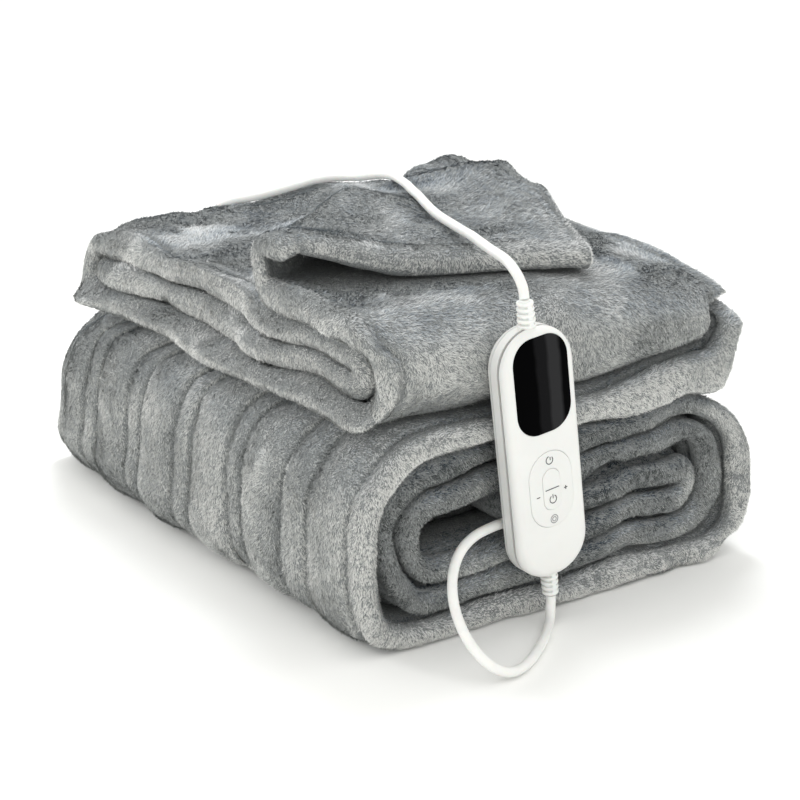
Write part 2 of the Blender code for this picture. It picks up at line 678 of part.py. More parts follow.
def make_plug():
    """The plug's body and two blades, lying on the coil and pointing away along the last of the cord."""
    end = Vector(TAIL_ROUTE[-1])
    heading = (end - Vector(TAIL_ROUTE[-2])).normalized()
    turn = math.atan2(heading.y, heading.x)
    holder = bpy.data.objects.new("plug_axis", None)
    holder.location = end + Vector((math.cos(turn), math.sin(turn), 0)) * PIECE_GAP
    holder.rotation_euler = (0, 0, turn)
    shape = bmesh.new()
    bmesh.ops.create_cube(shape, size=1)
    bmesh.ops.scale(shape, vec=PLUG_SIZE, verts=shape.verts)
    bmesh.ops.translate(shape, vec=(PLUG_SIZE.x / 2, 0, 0), verts=shape.verts)
    for vertex in shape.verts:
        if vertex.co.x < PLUG_SIZE.x / 2:
            vertex.co.y *= PLUG_NECK[0]
            vertex.co.z *= PLUG_NECK[1]
    soften(shape, shape.edges[:], PLUG_EDGE, segments=3)
    mesh = bpy.data.meshes.new("mains_plug")
    shape.to_mesh(mesh)
    shape.free()
    mesh.shade_smooth()
    body = bpy.data.objects.new("mains_plug", mesh)
    body.parent = holder
    pieces = [holder, body]
    for name, side in (("plug_blade_left", 1), ("plug_blade_right", -1)):
        shape = bmesh.new()
        bmesh.ops.create_cube(shape, size=1)
        bmesh.ops.scale(shape, vec=BLADE_SIZE, verts=shape.verts)
        far = [e for e in shape.edges if min(v.co.x for v in e.verts) > 0]
        tips = [e for e in far if abs(e.verts[0].co.z - e.verts[1].co.z) < 1e-6]
        soften(shape, tips, BLADE_SIZE.y / 3, segments=2)
        blade_mesh = bpy.data.meshes.new(name)
        shape.to_mesh(blade_mesh)
        shape.free()
        blade = bpy.data.objects.new(name, blade_mesh)
        blade.parent = holder
        blade.location = (PLUG_SIZE.x + PIECE_GAP + BLADE_SIZE.x / 2, side * BLADE_SPACING / 2, 0)
        pieces.append(blade)
    return pieces


# ------------------------------------------------------------------- finishes


def material(name, colour, roughness, metallic=0.0):
    """A plain finish."""
    made = bpy.data.materials.new(name)
    made.use_nodes = True
    shader = made.node_tree.nodes["Principled BSDF"]
    shader.inputs["Base Color"].default_value = (*colour, 1)
    shader.inputs["Roughness"].default_value = roughness
    shader.inputs["Metallic"].default_value = metallic
    made.diffuse_color = (*colour, 1)
    return made


def main():
    """Clears the scene and makes every piece."""
    for obj in list(bpy.data.objects):
        bpy.data.objects.remove(obj)
    parts = bpy.data.collections.new("electric_heated_blanket")
    cutters = bpy.data.collections.new("cutters")
    for collection in (parts, cutters):
        bpy.context.scene.collection.children.link(collection)

    plush = material("grey_plush", (0.34, 0.37, 0.39), 0.95)
    white = material("white_plastic", (0.82, 0.82, 0.80), 0.45)
    black = material("black_window", (0.010, 0.010, 0.012), 0.08)
    brass = material("plated_brass", (0.75, 0.70, 0.55), 0.25, 1.0)

    blanket = make_roll()
    folds = make_pack()
    as_tool(folds, cutters)
    joined = blanket.modifiers.new("pack_folds", "BOOLEAN")
    joined.operation = "UNION"
    joined.object = folds
    parts.objects.link(blanket)
    blanket.data.materials.append(plush)

    finishes = {"controller_window": black, "plug_blade_left": brass, "plug_blade_right": brass}
    pieces = make_controller(parts, cutters)
    cords = [
        make_cord("mains_cord", MAINS_ROUTE),
        make_cord("mains_cord_tail", TAIL_ROUTE),
        make_cord("blanket_cord", BLANKET_ROUTE),
        make_coil("mains_cord_coil"),
        *make_plug(),
    ]
    for piece in cords:
        parts.objects.link(piece)
    for piece in pieces + cords:
        if piece.type != "EMPTY":
            piece.data.materials.append(finishes.get(piece.name, white))


main()
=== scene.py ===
"""Looks of a folded and rolled electric heated blanket with its hand controller and cords.

Metres, +Z up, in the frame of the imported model. The blanket is one thick sheet of two-ply plush,
lofted along the middle lines of its folds, with its sewn channels, hems and creases, and a pile of
separate fibres wherever the cloth shows.
"""

from __future__ import annotations

import logging
import math
from dataclasses import dataclass, field
from enum import Enum
from typing import Any, Callable, Sequence

import bmesh
import bpy
import numpy as np
from mathutils import Matrix, Vector, noise
from mathutils.bvhtree import BVHTree

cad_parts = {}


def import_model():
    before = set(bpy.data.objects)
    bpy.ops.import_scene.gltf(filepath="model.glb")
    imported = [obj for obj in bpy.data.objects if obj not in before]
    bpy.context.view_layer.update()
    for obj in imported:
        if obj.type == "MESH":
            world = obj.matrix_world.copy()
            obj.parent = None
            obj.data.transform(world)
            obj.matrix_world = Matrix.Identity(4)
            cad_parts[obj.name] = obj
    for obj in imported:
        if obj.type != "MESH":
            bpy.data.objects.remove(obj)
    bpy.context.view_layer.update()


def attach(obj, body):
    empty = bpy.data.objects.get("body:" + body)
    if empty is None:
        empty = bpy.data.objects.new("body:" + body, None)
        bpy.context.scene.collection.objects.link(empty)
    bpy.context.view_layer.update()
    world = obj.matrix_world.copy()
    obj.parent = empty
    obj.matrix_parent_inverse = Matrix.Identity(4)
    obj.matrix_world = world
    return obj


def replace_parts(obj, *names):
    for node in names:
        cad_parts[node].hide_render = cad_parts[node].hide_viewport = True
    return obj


log = logging.getLogger("electric_heated_blanket")

BODY = "root"
SEED = 11


# ------------------------------------------------------------------ shader maths


class Socket:
    """One output of a node, with arithmetic."""

    def __init__(self, tree: "Tree", out: bpy.types.NodeSocket) -> None:
        """Keeps the socket and the tree it belongs to."""
        self.tree = tree
        self.out = out

    def _math(self, operation: str, first: Any, second: Any) -> "Socket":
        """A Math node on two values."""
        return self.tree.node("ShaderNodeMath", {"operation": operation}, {0: first, 1: second})

    def __add__(self, other: Any) -> "Socket":
        """Self plus other."""
        return self._math("ADD", self, other)

    __radd__ = __add__

    def __sub__(self, other: Any) -> "Socket":
        """Self minus other."""
        return self._math("SUBTRACT", self, other)

    def __rsub__(self, other: Any) -> "Socket":
        """Other minus self."""
        return self._math("SUBTRACT", other, self)

    def __mul__(self, other: Any) -> "Socket":
        """Self times other."""
        return self._math("MULTIPLY", self, other)

    __rmul__ = __mul__


class Tree:
    """A material whose nodes are added one way."""

    def __init__(self, name: str, **constants: Any) -> None:
        """Makes the material.

        Args:
            name: The material's name.
            constants: Values of the shader's sockets that are the same all over.
        """
        self.material = bpy.data.materials.new(name)
        self.material.use_nodes = True
        self.nodes = self.material.node_tree.nodes
        self.links = self.material.node_tree.links
        self.shader = self.nodes["Principled BSDF"]
        for socket, value in constants.items():
            self.shader.inputs[socket.replace("_", " ")].default_value = value

    def node(self, kind: str, settings: dict[str, Any], inputs: dict[Any, Any], output: Any = 0) -> Socket:
        """Adds any node.

        Args:
            kind: The node's type.
            settings: Its own properties, set first.
            inputs: Values or sockets of its inputs, by name or place.
            output: The output that is wanted, by name or place.

        Returns:
            That output.
        """
        made = self.nodes.new(kind)
        for key, value in settings.items():
            if key == "stops":
                self._ramp(made.color_ramp, value)
            else:
                setattr(made, key, value)
        for key, value in inputs.items():
            self.feed(made.inputs[key], value)
        return Socket(self, made.outputs[output])

    def feed(self, socket: bpy.types.NodeSocket, value: Any) -> None:
        """Links a socket or sets its value.

        Args:
            socket: The input to feed.
            value: A Socket to link, or a plain value to set.
        """
        if isinstance(value, Socket):
            self.links.new(value.out, socket)
        else:
            socket.default_value = value

    @staticmethod
    def _ramp(ramp: bpy.types.ColorRamp, stops: Sequence[tuple[float, Sequence[float]]]) -> None:
        """Sets a ramp's stops.

        Args:
            ramp: The ramp.
            stops: Places and colours, in order.
        """
        for index, (place, colour) in enumerate(stops):
            stop = ramp.elements[index] if index < 2 else ramp.elements.new(place)
            stop.position = place
            stop.color = (*colour, 1.0)

    def place(self) -> Socket:
        """Object coordinates."""
        return self.node("ShaderNodeTexCoord", {}, {}, "Object")

    def noise(self, scale: float, detail: float = 2.0, at: Socket | None = None) -> Socket:
        """Noise from 0 to 1, of a scale in turns for each metre."""
        where = at if at is not None else self.place()
        return self.node("ShaderNodeTexNoise", {}, {"Vector": where, "Scale": scale, "Detail": detail})

    def attribute(self, name: str) -> Socket:
        """A number stored on the mesh."""
        return self.node("ShaderNodeAttribute", {"attribute_name": name}, {}, "Fac")

    def ramp(self, value: Any, *stops: tuple[float, Sequence[float]]) -> Socket:
        """A colour ramp on a value."""
        return self.node("ShaderNodeValToRGB", {"stops": stops}, {"Fac": value})

    def shade(self, colour: Socket, value: Socket) -> Socket:
        """A colour times a number, through a Mix node.

        Args:
            colour: The colour.
            value: The number.

        Returns:
            The product, as a colour.
        """
        return self.node(
            "ShaderNodeMix",
            {"data_type": "RGBA", "blend_type": "MULTIPLY"},
            {"Factor": 1.0, 6: colour, 7: value},
            2,
        )

    def mix(self, factor: Any, first: Any, second: Any) -> Socket:
        """Between two colours."""
        return self.node("ShaderNodeMix", {"data_type": "RGBA"}, {"Factor": factor, 6: first, 7: second}, 2)

    def bump(self, height: Socket, distance: float, strength: float = 1.0) -> None:
        """Feeds the shader's normal from a height."""
        inputs = {"Height": height, "Distance": distance, "Strength": strength}
        normal = self.node("ShaderNodeBump", {}, inputs)
        self.feed(self.shader.inputs["Normal"], normal)

    def set(self, **inputs: Any) -> "Tree":
        """Feeds the shader's sockets."""
        for socket, value in inputs.items():
            self.feed(self.shader.inputs[socket.replace("_", " ")], value)
        return self


# ----------------------------------------------------------------------- finishes


@dataclass(frozen=True)
class PlushFinish:
    """Brushed silver-grey plush: its ground cloth and its pile."""

    # The ground is far darker than the pile: painted shade where it shows between the fibres.
    ground_dark: tuple[float, float, float] = (0.115, 0.125, 0.130)
    ground_light: tuple[float, float, float] = (0.300, 0.313, 0.310)
    # The pile's colours from dark to light tone; the tone holds the brushed nap and also painted light and
    # shade.
    away: tuple[float, float, float] = (0.110, 0.120, 0.120)
    middle: tuple[float, float, float] = (0.660, 0.680, 0.665)
    towards: tuple[float, float, float] = (0.970, 0.972, 0.945)
    cool_away: tuple[float, float, float] = (0.085, 0.110, 0.140)
    cool_middle: tuple[float, float, float] = (0.560, 0.615, 0.665)
    cool_towards: tuple[float, float, float] = (0.960, 0.972, 0.975)
    root_shade: float = 0.32

    def ground(self) -> bpy.types.Material:
        """The knitted ground under the pile, dark with painted shade where it shows between fibres.

        Returns:
            A material with the pile's short matted roots as bump.
        """
        tree = Tree("plush_ground", Sheen_Weight=0.10, Sheen_Roughness=0.6)
        matted = tree.noise(900.0, 3.0)
        clumps = tree.noise(170.0, 3.0)
        colour = tree.ramp(
            0.8 * matted + 0.2 * clumps, (0.32, self.ground_dark), (0.66, self.ground_light)
        )
        tree.bump(0.8 * matted + 0.4 * clumps, 0.0012)
        return tree.set(Base_Color=colour, Roughness=0.86 + 0.12 * matted).material

    def pile(self) -> bpy.types.Material:
        """The fibres: painted shade at the root, a tone that holds the brushed nap and painted
        light and shade, and bluer where the cloth faces up.

        Returns:
            A material that reads the fibres' tone and reach.
        """
        tree = Tree("plush_pile", Sheen_Weight=0.12, Sheen_Roughness=0.45, Specular_IOR_Level=0.20)
        tone = tree.attribute("tone")
        reach = tree.attribute("reach")
        plain = tree.ramp(tone, (0.0, self.away), (0.5, self.middle), (1.0, self.towards))
        cool = tree.ramp(tone, (0.0, self.cool_away), (0.5, self.cool_middle), (1.0, self.cool_towards))
        brushed = tree.mix(tree.attribute("upward"), plain, cool)
        # Painted shade deep in the pile: darkest at the root.
        depth = self.root_shade + (1.0 - self.root_shade) * reach
        colour = tree.shade(brushed, depth)
        return tree.set(Base_Color=colour, Roughness=0.92 - 0.22 * tone).material


@dataclass(frozen=True)
class ShellFinish:
    """Satin white moulded plastic."""

    colour: tuple[float, float, float] = (0.790, 0.792, 0.772)
    worn: tuple[float, float, float] = (0.760, 0.762, 0.745)
    roughness: float = 0.33
    grain_depth: float = 0.00004

    def material(self, name: str) -> bpy.types.Material:
        """The finish, with a fine spark-eroded grain and faint handling marks.

        Args:
            name: The material's name.

        Returns:
            The material.
        """
        tree = Tree(name, Subsurface_Weight=0.06, Subsurface_Scale=0.004)
        handled = tree.noise(38.0, 4.0)
        grain = tree.noise(5200.0, 2.0)
        colour = tree.ramp(handled, (0.35, self.worn), (0.62, self.colour))
        tree.bump(grain, self.grain_depth, 0.55)
        return tree.set(Base_Color=colour, Roughness=self.roughness + 0.10 * handled).material


@dataclass(frozen=True)
class WindowFinish:
    """Black display window. Its lighter band is painted on, in place of a reflection."""

    deep: tuple[float, float, float] = (0.0012, 0.0012, 0.0014)
    # Painted reflection: the brighter band along the right of the window.
    painted_reflection: tuple[float, float, float] = (0.0270, 0.0270, 0.0285)
    # Painted reflection: the fainter band beside it.
    line: tuple[float, float, float] = (0.0085, 0.0085, 0.0092)

    def material(self, across: Vector, middle: Vector) -> bpy.types.Material:
        """The finish, with the painted reflection band along the right of it.

        Args:
            across: The direction across the window.
            middle: Its middle.

        Returns:
            The material.
        """
        # The specular is nearly off, and the painted band stands in for the reflection.
        tree = Tree("window_gloss", Specular_IOR_Level=0.008)
        # The wipes roughen the glass and waver the edges of the painted reflection.
        wipes_and_reflection_waver = tree.noise(60.0, 5.0)
        kind = "ShaderNodeVectorMath"
        moved = tree.node(kind, {"operation": "SUBTRACT"}, {0: tree.place(), 1: middle})
        along = tree.node(kind, {"operation": "DOT_PRODUCT"}, {0: moved, 1: across}, "Value")
        place = 0.5 + 26.0 * along + 0.10 * wipes_and_reflection_waver
        colour = tree.ramp(
            place,
            (0.43, self.deep),
            (0.49, self.line),
            (0.64, self.line),
            (0.70, self.painted_reflection),
            (0.86, self.painted_reflection),
            (0.93, self.deep),
        )
        return tree.set(Base_Color=colour, Roughness=0.04 + 0.08 * wipes_and_reflection_waver).material


@dataclass(frozen=True)
class SheathFinish:
    """Soft white cord sheath, also of the strain reliefs and the plug."""

    colour: tuple[float, float, float] = (0.865, 0.867, 0.845)
    rubbed: tuple[float, float, float] = (0.820, 0.824, 0.805)

    def material(self, name: str, roughness: float) -> bpy.types.Material:
        """The finish, with scuffs and a fine skin.

        Args:
            name: The material's name.
            roughness: Its least roughness.

        Returns:
            The material.
        """
        tree = Tree(name, Subsurface_Weight=0.10, Subsurface_Scale=0.003, Specular_IOR_Level=0.42)
        scuffed = tree.noise(120.0, 4.0)
        skin = tree.noise(2600.0, 2.0)
        colour = tree.ramp(scuffed, (0.36, self.rubbed), (0.58, self.colour))
        tree.bump(skin, 0.00005, 0.5)
        return tree.set(Base_Color=colour, Roughness=roughness + 0.12 * scuffed).material


@dataclass(frozen=True)
class InkFinish:
    """Printed symbols."""

    full: tuple[float, float, float] = (0.055, 0.055, 0.060)
    thin: tuple[float, float, float] = (0.120, 0.120, 0.128)

    def material(self, name: str, lift: float = 0.0) -> bpy.types.Material:
        """The finish.

        Args:
            name: The material's name.
            lift: Added to the ink's colour, to make it fainter.

        Returns:
            The material.
        """
        tree = Tree(name)
        speckle = tree.noise(3500.0, 2.0)
        first, second = ([channel + lift for channel in ink] for ink in (self.full, self.thin))
        colour = tree.ramp(speckle, (0.4, first), (0.7, second))
        return tree.set(Base_Color=colour, Roughness=0.45 + 0.2 * speckle).material


@dataclass(frozen=True)
class BrassFinish:
    """Plated plug blades."""

    colour: tuple[float, float, float] = (0.78, 0.72, 0.52)
    dull: tuple[float, float, float] = (0.58, 0.52, 0.36)

    def material(self) -> bpy.types.Material:
        """The finish, with drawing lines and tarnish."""
        tree = Tree("plated_brass", Metallic=1.0)
        tarnish = tree.noise(220.0, 4.0)
        drawn = tree.noise(1800.0, 2.0)
        colour = tree.ramp(tarnish, (0.4, self.dull), (0.6, self.colour))
        tree.bump(drawn, 0.00003, 0.5)
        return tree.set(Base_Color=colour, Roughness=0.20 + 0.22 * tarnish).material


# ----------------------------------------------------------------- mesh helpers


def clear_selection() -> None:
    """Leaves nothing selected, in object mode."""
    if bpy.context.object and bpy.context.object.mode != "OBJECT":
        bpy.ops.object.mode_set(mode="OBJECT")
    bpy.ops.object.select_all(action="DESELECT")


def edit_edges(piece: bpy.types.Object, wanted: Callable[[Vector, Vector], bool]) -> None:
    """Selects edges by place and stays in edit mode.

    Args:
        piece: The mesh object.
        wanted: Tells from an edge's two ends whether it is selected.
    """
    bpy.context.view_layer.objects.active = piece
    bpy.ops.object.mode_set(mode="EDIT")
    bpy.ops.mesh.select_mode(type="EDGE")
    bpy.ops.mesh.select_all(action="DESELECT")
    shape = bmesh.from_edit_mesh(piece.data)
    for edge in shape.edges:
        if wanted(edge.verts[0].co, edge.verts[1].co):
            edge.select_set(True)
    bmesh.update_edit_mesh(piece.data)


def apply_modifiers(piece: bpy.types.Object) -> None:
    """Applies all of a piece's modifiers.

    Args:
        piece: The mesh object.
    """
    clear_selection()
    piece.select_set(True)
    bpy.context.view_layer.objects.active = piece
    for modifier in list(piece.modifiers):
        bpy.ops.object.modifier_apply(modifier=modifier.name)


def dress(piece: bpy.types.Object, finish: bpy.types.Material) -> bpy.types.Object:
    """Gives a piece its finish and its body.

    Args:
        piece: The finished piece.
        finish: Its material.

    Returns:
        The same piece.
    """
    piece.data.materials.clear()
    piece.data.materials.append(finish)
    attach(piece, BODY)
    log.info("%s is in place", piece.name)
    return piece


def linked(name: str, data: bpy.types.ID) -> bpy.types.Object:
    """A new object in the scene.

    Args:
        name: Its name.
        data: Its mesh, curve, light or camera.

    Returns:
        The object.
    """
    piece = bpy.data.objects.new(name, data)
    bpy.context.scene.collection.objects.link(piece)
    return piece


def smoothed(value: np.ndarray | float, start: float, end: float) -> np.ndarray:
    """How far a value is between two places, eased at both ends.

    Args:
        value: The value or values.
        start: Where the share is 0.
        end: Where the share is 1.

    Returns:
        The share, from 0 to 1.
    """
    share = np.clip((np.asarray(value, float) - start) / (end - start), 0.0, 1.0)
    return share * share * (3.0 - 2.0 * share)


def bell(value: np.ndarray, spread: float) -> np.ndarray:
    """1 at 0, falling away over a spread."""
    return np.exp(-((value / spread) ** 2))


# --------------------------------------------------------------------- the cloth


@dataclass(frozen=True)
class Turn:
    """The turn at the end of a run of cloth: its side, start, heights, reach and lower half's bend."""

    side: int
    at: float
    z_before: float
    z_after: float
    reach: float
    bend: float = 1.0


@dataclass(frozen=True)
class Rise:
    """A soft rise: its middle, spread and height."""

    x: float
    y: float
    spread_x: float
    spread_y: float
    height: float


@dataclass(frozen=True)
class Crease:
    """A trough (or a ridge, where depth is negative) along a line of points in millimetres."""

    points: tuple[tuple[float, float, float], ...]
    width: float
    depth: float


ROLL_START = (0.076, 0.1800)
ROLL_TURNS = (
    Turn(+1, 0.103, 0.1800, 0.1222, 0.0210),
    Turn(-1, -0.105, 0.1210, 0.00825, 0.0475, 0.52),
    Turn(+1, 0.095, 0.00825, 0.1050, 0.0415, 0.72),
    Turn(-1, -0.105, 0.1030, 0.0265, 0.0290),
    Turn(+1, 0.095, 0.0265, 0.0865, 0.0232),
    Turn(-1, -0.101, 0.0850, 0.0447, 0.0148),
    Turn(+1, 0.0895, 0.0447, 0.0630, 0.00915),
)
ROLL_END = (-0.040, 0.0630)
PACK_START = (0.150, 0.1553)
PACK_TURNS = (
    Turn(-1, -0.170, 0.1553, 0.1720, 0.00835),
    Turn(+1, 0.158, 0.1720, 0.1387, 0.0160),
    Turn(-1, -0.172, 0.1387, 0.1888, 0.0265),
)
FLAP_RISES = (
    Rise(-0.128, -0.098, 0.036, 0.040, 0.015),
    Rise(-0.056, -0.026, 0.060, 0.046, 0.014),
    Rise(0.056, -0.088, 0.030, 0.030, 0.015),
    Rise(0.080, -0.022, 0.036, 0.052, 0.022),
)
# Creases of the near end, then the folded-back corner's stitched ridge and its soft dents
CREASES = (
    Crease(((109, -206, 49), (136, -206, 54)), 6.3, 5.1),
    Crease(((110, -206, 35), (134, -206, 34)), 5.7, 4.3),
    Crease(((108, -206, 17), (130, -206, 9)), 6.3, 4.5),
    Crease(((-6, -206, 26), (16, -204, 11)), 6.6, 5.1),
    Crease(((38, -206, 26), (60, -205, 11)), 6.3, 4.8),
    Crease(((67, -206, 27), (88, -205, 6)), 6.9, 5.5),
    Crease(((-70, -206, 16), (-52, -206, 6)), 6.9, 4.0),
    Crease(((49, -205, 71), (44, -206, 42)), 6.3, 4.5),
    Crease(((60, -206, 70), (61, -203, 33)), 6.3, 4.5),
    Crease(((71, -206, 66), (76, -200, 33)), 6.3, 4.5),
    Crease(((18, -192, 80), (12, -207, 92)), 6.3, 4.0),
    Crease(((32, -194, 80), (22, -207, 93)), 6.3, 4.5),
    Crease(((88, -205, 84), (108, -205, 92)), 6.3, 4.5),
    Crease(((67, -28, 232), (55, -55, 229), (43, -81, 227), (35, -101, 221), (12, -144, 213)), 3.0, -1.4),
    Crease(((62, -30, 232), (50, -56, 229), (38, -82, 226), (30, -102, 220), (7, -145, 213)), 3.4, 1.8),
    Crease(((-106, -52, 216), (-62, -70, 222), (-20, -92, 218)), 11.0, 2.4),
    Crease(((-40, -26, 230), (0, -52, 224), (30, -60, 222)), 10.0, 2.2),
    Crease(((20, 40, 214), (55, 18, 222), (74, 8, 228)), 10.0, 2.4),
    Crease(((-147, 126, 170), (-152, 133, 145)), 4.0, 3.6),
    Crease(((-152, 60, 158), (-150, 30, 164)), 6.0, 2.6),
    Crease(((-152, -20, 150), (-150, -64, 158)), 7.0, 2.6),
    Crease(((-80, 140, 192), (-52, 162, 190), (-44, 178, 186)), 6.0, 3.0),
    Crease(((-14, 155, 192), (12, 155, 195), (54, 153, 197)), 11.0, -5.5),
    Crease(((28, 46, 218), (40, 78, 210), (56, 122, 200)), 10.0, -3.5),
    Crease(((-110, 120, 190), (-84, 150, 190), (-70, 176, 184)), 8.0, 2.6),
)
MM = 0.001


@dataclass
class Strip:
    """One lofted stretch of the blanket's cloth: a grid of stations by ring points."""

    half: float
    cap_points: int = 5
    hem_steps: int = 5
    grid: np.ndarray = field(default_factory=lambda: np.zeros((0, 0, 3)))
    hem_near: np.ndarray = field(default_factory=lambda: np.zeros((0, 0)))
    seam: np.ndarray = field(default_factory=lambda: np.zeros((0, 0)))
    inner: np.ndarray = field(default_factory=lambda: np.zeros((0, 0)))
    lit: np.ndarray = field(default_factory=lambda: np.zeros((0, 0)))
    run_count: int = 0

    def path(
        self, start: tuple[float, float], turns: Sequence[Turn], end: tuple[float, float] | None, every: float
    ) -> np.ndarray:
        """The middle line of the cloth.

        Args:
            start: Where it begins.
            turns: Its turns.
            end: Where it ends, or None to end after the last turn.
            every: The spacing of its points.

        Returns:
            Rows of (along, up).
        """
        points = [start]
        for turn in turns:
            run_from = points[-1]
            count = max(4, round(abs(turn.at - run_from[0]) / every))
            for step in range(1, count):
                share = step / count
                along = run_from[0] + (turn.at - run_from[0]) * share
                points.append((along, run_from[1] + (turn.z_before - run_from[1]) * share))
            middle = (turn.z_before + turn.z_after) / 2
            rise = (turn.z_before - turn.z_after) / 2
            arc = math.pi * math.sqrt((rise * rise + turn.reach * turn.reach) / 2)
            count = max(10, round(arc / every))
            for step in range(count + 1):
                angle = math.pi * step / count
                out, up = max(0.0, math.sin(angle)), rise * math.cos(angle)
                if up < 0:
                    out, up = out**turn.bend, -abs(rise) * abs(math.cos(angle)) ** turn.bend
                points.append((turn.at + turn.side * turn.reach * out, middle + up))
        if end is not None:
            last = points[-1]
            count = max(3, round(math.dist(last, end) / every))
            for step in range(1, count + 1):
                share = step / count
                points.append((last[0] + (end[0] - last[0]) * share, last[1] + (end[1] - last[1]) * share))
        return np.array(points)

    def hem_stations(
        self, first: float, last: float, inner: Sequence[float]
    ) -> tuple[np.ndarray, np.ndarray]:
        """Stations from one hem to the other, closer together where the hems round off.

        Args:
            first: The first hem's edge.
            last: The last hem's edge.
            inner: The stations between the hems.

        Returns:
            The stations and, for each, its share of the cloth's full thickness.
        """
        angles = [math.pi / 2 * (step + 0.5) / self.hem_steps for step in range(self.hem_steps)]
        near = [(first + self.half * (1 - math.cos(a)), math.sin(a)) for a in angles]
        far = [(last - (place - first), share) for place, share in reversed(near)]
        kept = [(place, 1.0) for place in inner if first + self.half * 1.1 < place < last - self.half * 1.1]
        rows = near + kept + far
        return np.array([row[0] for row in rows]), np.array([row[1] for row in rows])

    def ring(self, path: np.ndarray, above: np.ndarray, below: np.ndarray) -> np.ndarray:
        """The ring of points around the cloth at one station.

        Args:
            path: The middle line.
            above: How far the upper side lies from each of its points.
            below: How far the lower side does.

        Returns:
            Rows of (along, up): upper side, end cap, lower side back again, start cap.
        """
        along = np.gradient(path, axis=0)
        along /= np.linalg.norm(along, axis=1, keepdims=True) + 1e-12
        across = np.stack([-along[:, 1], along[:, 0]], axis=1)
        upper = path + across * above[:, None]
        lower = path - across * below[:, None]
        angles = math.pi * (np.arange(self.cap_points) + 1) / (self.cap_points + 1)

        def cap(index: int, out: np.ndarray) -> np.ndarray:
            """Rounds off the cloth at one end of the path, towards a direction."""
            middle = (upper[index] + lower[index]) / 2
            half = (above[index] + below[index]) / 2
            turned = across[index] * np.cos(angles)[:, None] + out * np.sin(angles)[:, None]
            return middle + turned * half

        end_cap = cap(-1, along[-1])
        start_cap = cap(0, -along[0])
        return np.concatenate([upper, end_cap, lower[::-1], start_cap[::-1]])

    def ring_share(self, values: np.ndarray) -> np.ndarray:
        """Spreads a value of each path point over the ring.

        Args:
            values: One value for each point of the path.

        Returns:
            One value for each point of the ring.
        """
        end = np.repeat(values[-1:], self.cap_points)
        start = np.repeat(values[:1], self.cap_points)
        return np.concatenate([values, end, values[::-1], start])

    def faces(self, offset: int) -> tuple[np.ndarray, list[list[int]]]:
        """The grid's faces.

        Args:
            offset: The number of its first vertex.

        Returns:
            The quads between stations, and the faces that close both hems.
        """
        stations, size = self.grid.shape[:2]
        index = np.arange(stations * size).reshape(stations, size) + offset
        ahead = np.roll(index, -1, axis=1)
        quads = np.stack([index[:-1], ahead[:-1], ahead[1:], index[1:]], axis=-1).reshape(-1, 4)
        count, caps = self.run_count, self.cap_points
        closing = []
        for row, turned in ((index[0], True), (index[-1], False)):
            upper = row[:count]
            lower = row[count + caps : 2 * count + caps][::-1]
            shapes = [[upper[i], upper[i + 1], lower[i + 1], lower[i]] for i in range(count - 1)]
            shapes.append([upper[-1], *row[count : count + caps], lower[-1]])
            shapes.append([lower[0], *row[2 * count + caps :], upper[0]])
            closing += [list(map(int, shape if turned else shape[::-1])) for shape in shapes]
        return quads, closing

    def normals(self) -> np.ndarray:
        """Outward normals of the grid."""
        around = np.roll(self.grid, -1, axis=1) - np.roll(self.grid, 1, axis=1)
        along = np.gradient(self.grid, axis=0)
        normal = np.cross(around, along)
        return normal / (np.linalg.norm(normal, axis=2, keepdims=True) + 1e-12)


def waves(points: np.ndarray, scale: float, shift: float) -> np.ndarray:
    """Smooth noise from about -1 to 1 at many points.

    Args:
        points: Places, in metres.
        scale: Turns for each metre.
        shift: Moves the pattern, so that two of them differ.

    Returns:
        One value for each point.
    """
    moved = (points.reshape(-1, 3) * scale + shift).tolist()
    return np.array([noise.noise(place) for place in moved]).reshape(points.shape[:-1]) * 1.6


def crease_depth(points: np.ndarray, crease: Crease) -> np.ndarray:
    """How far one crease presses in at each point.

    Args:
        points: Places, in metres.
        crease: The crease, in millimetres.

    Returns:
        The depths, in metres, negative for a ridge.
    """
    line = np.array(crease.points) * MM
    nearest = np.full(points.shape[:-1], 1.0)
    for start, end in zip(line[:-1], line[1:]):
        run = end - start
        share = np.clip(((points - start) @ run) / (run @ run), 0.0, 1.0)
        away = np.linalg.norm(points - (start + share[..., None] * run), axis=-1)
        nearest = np.minimum(nearest, away)
    return crease.depth * MM * bell(nearest, crease.width * MM)


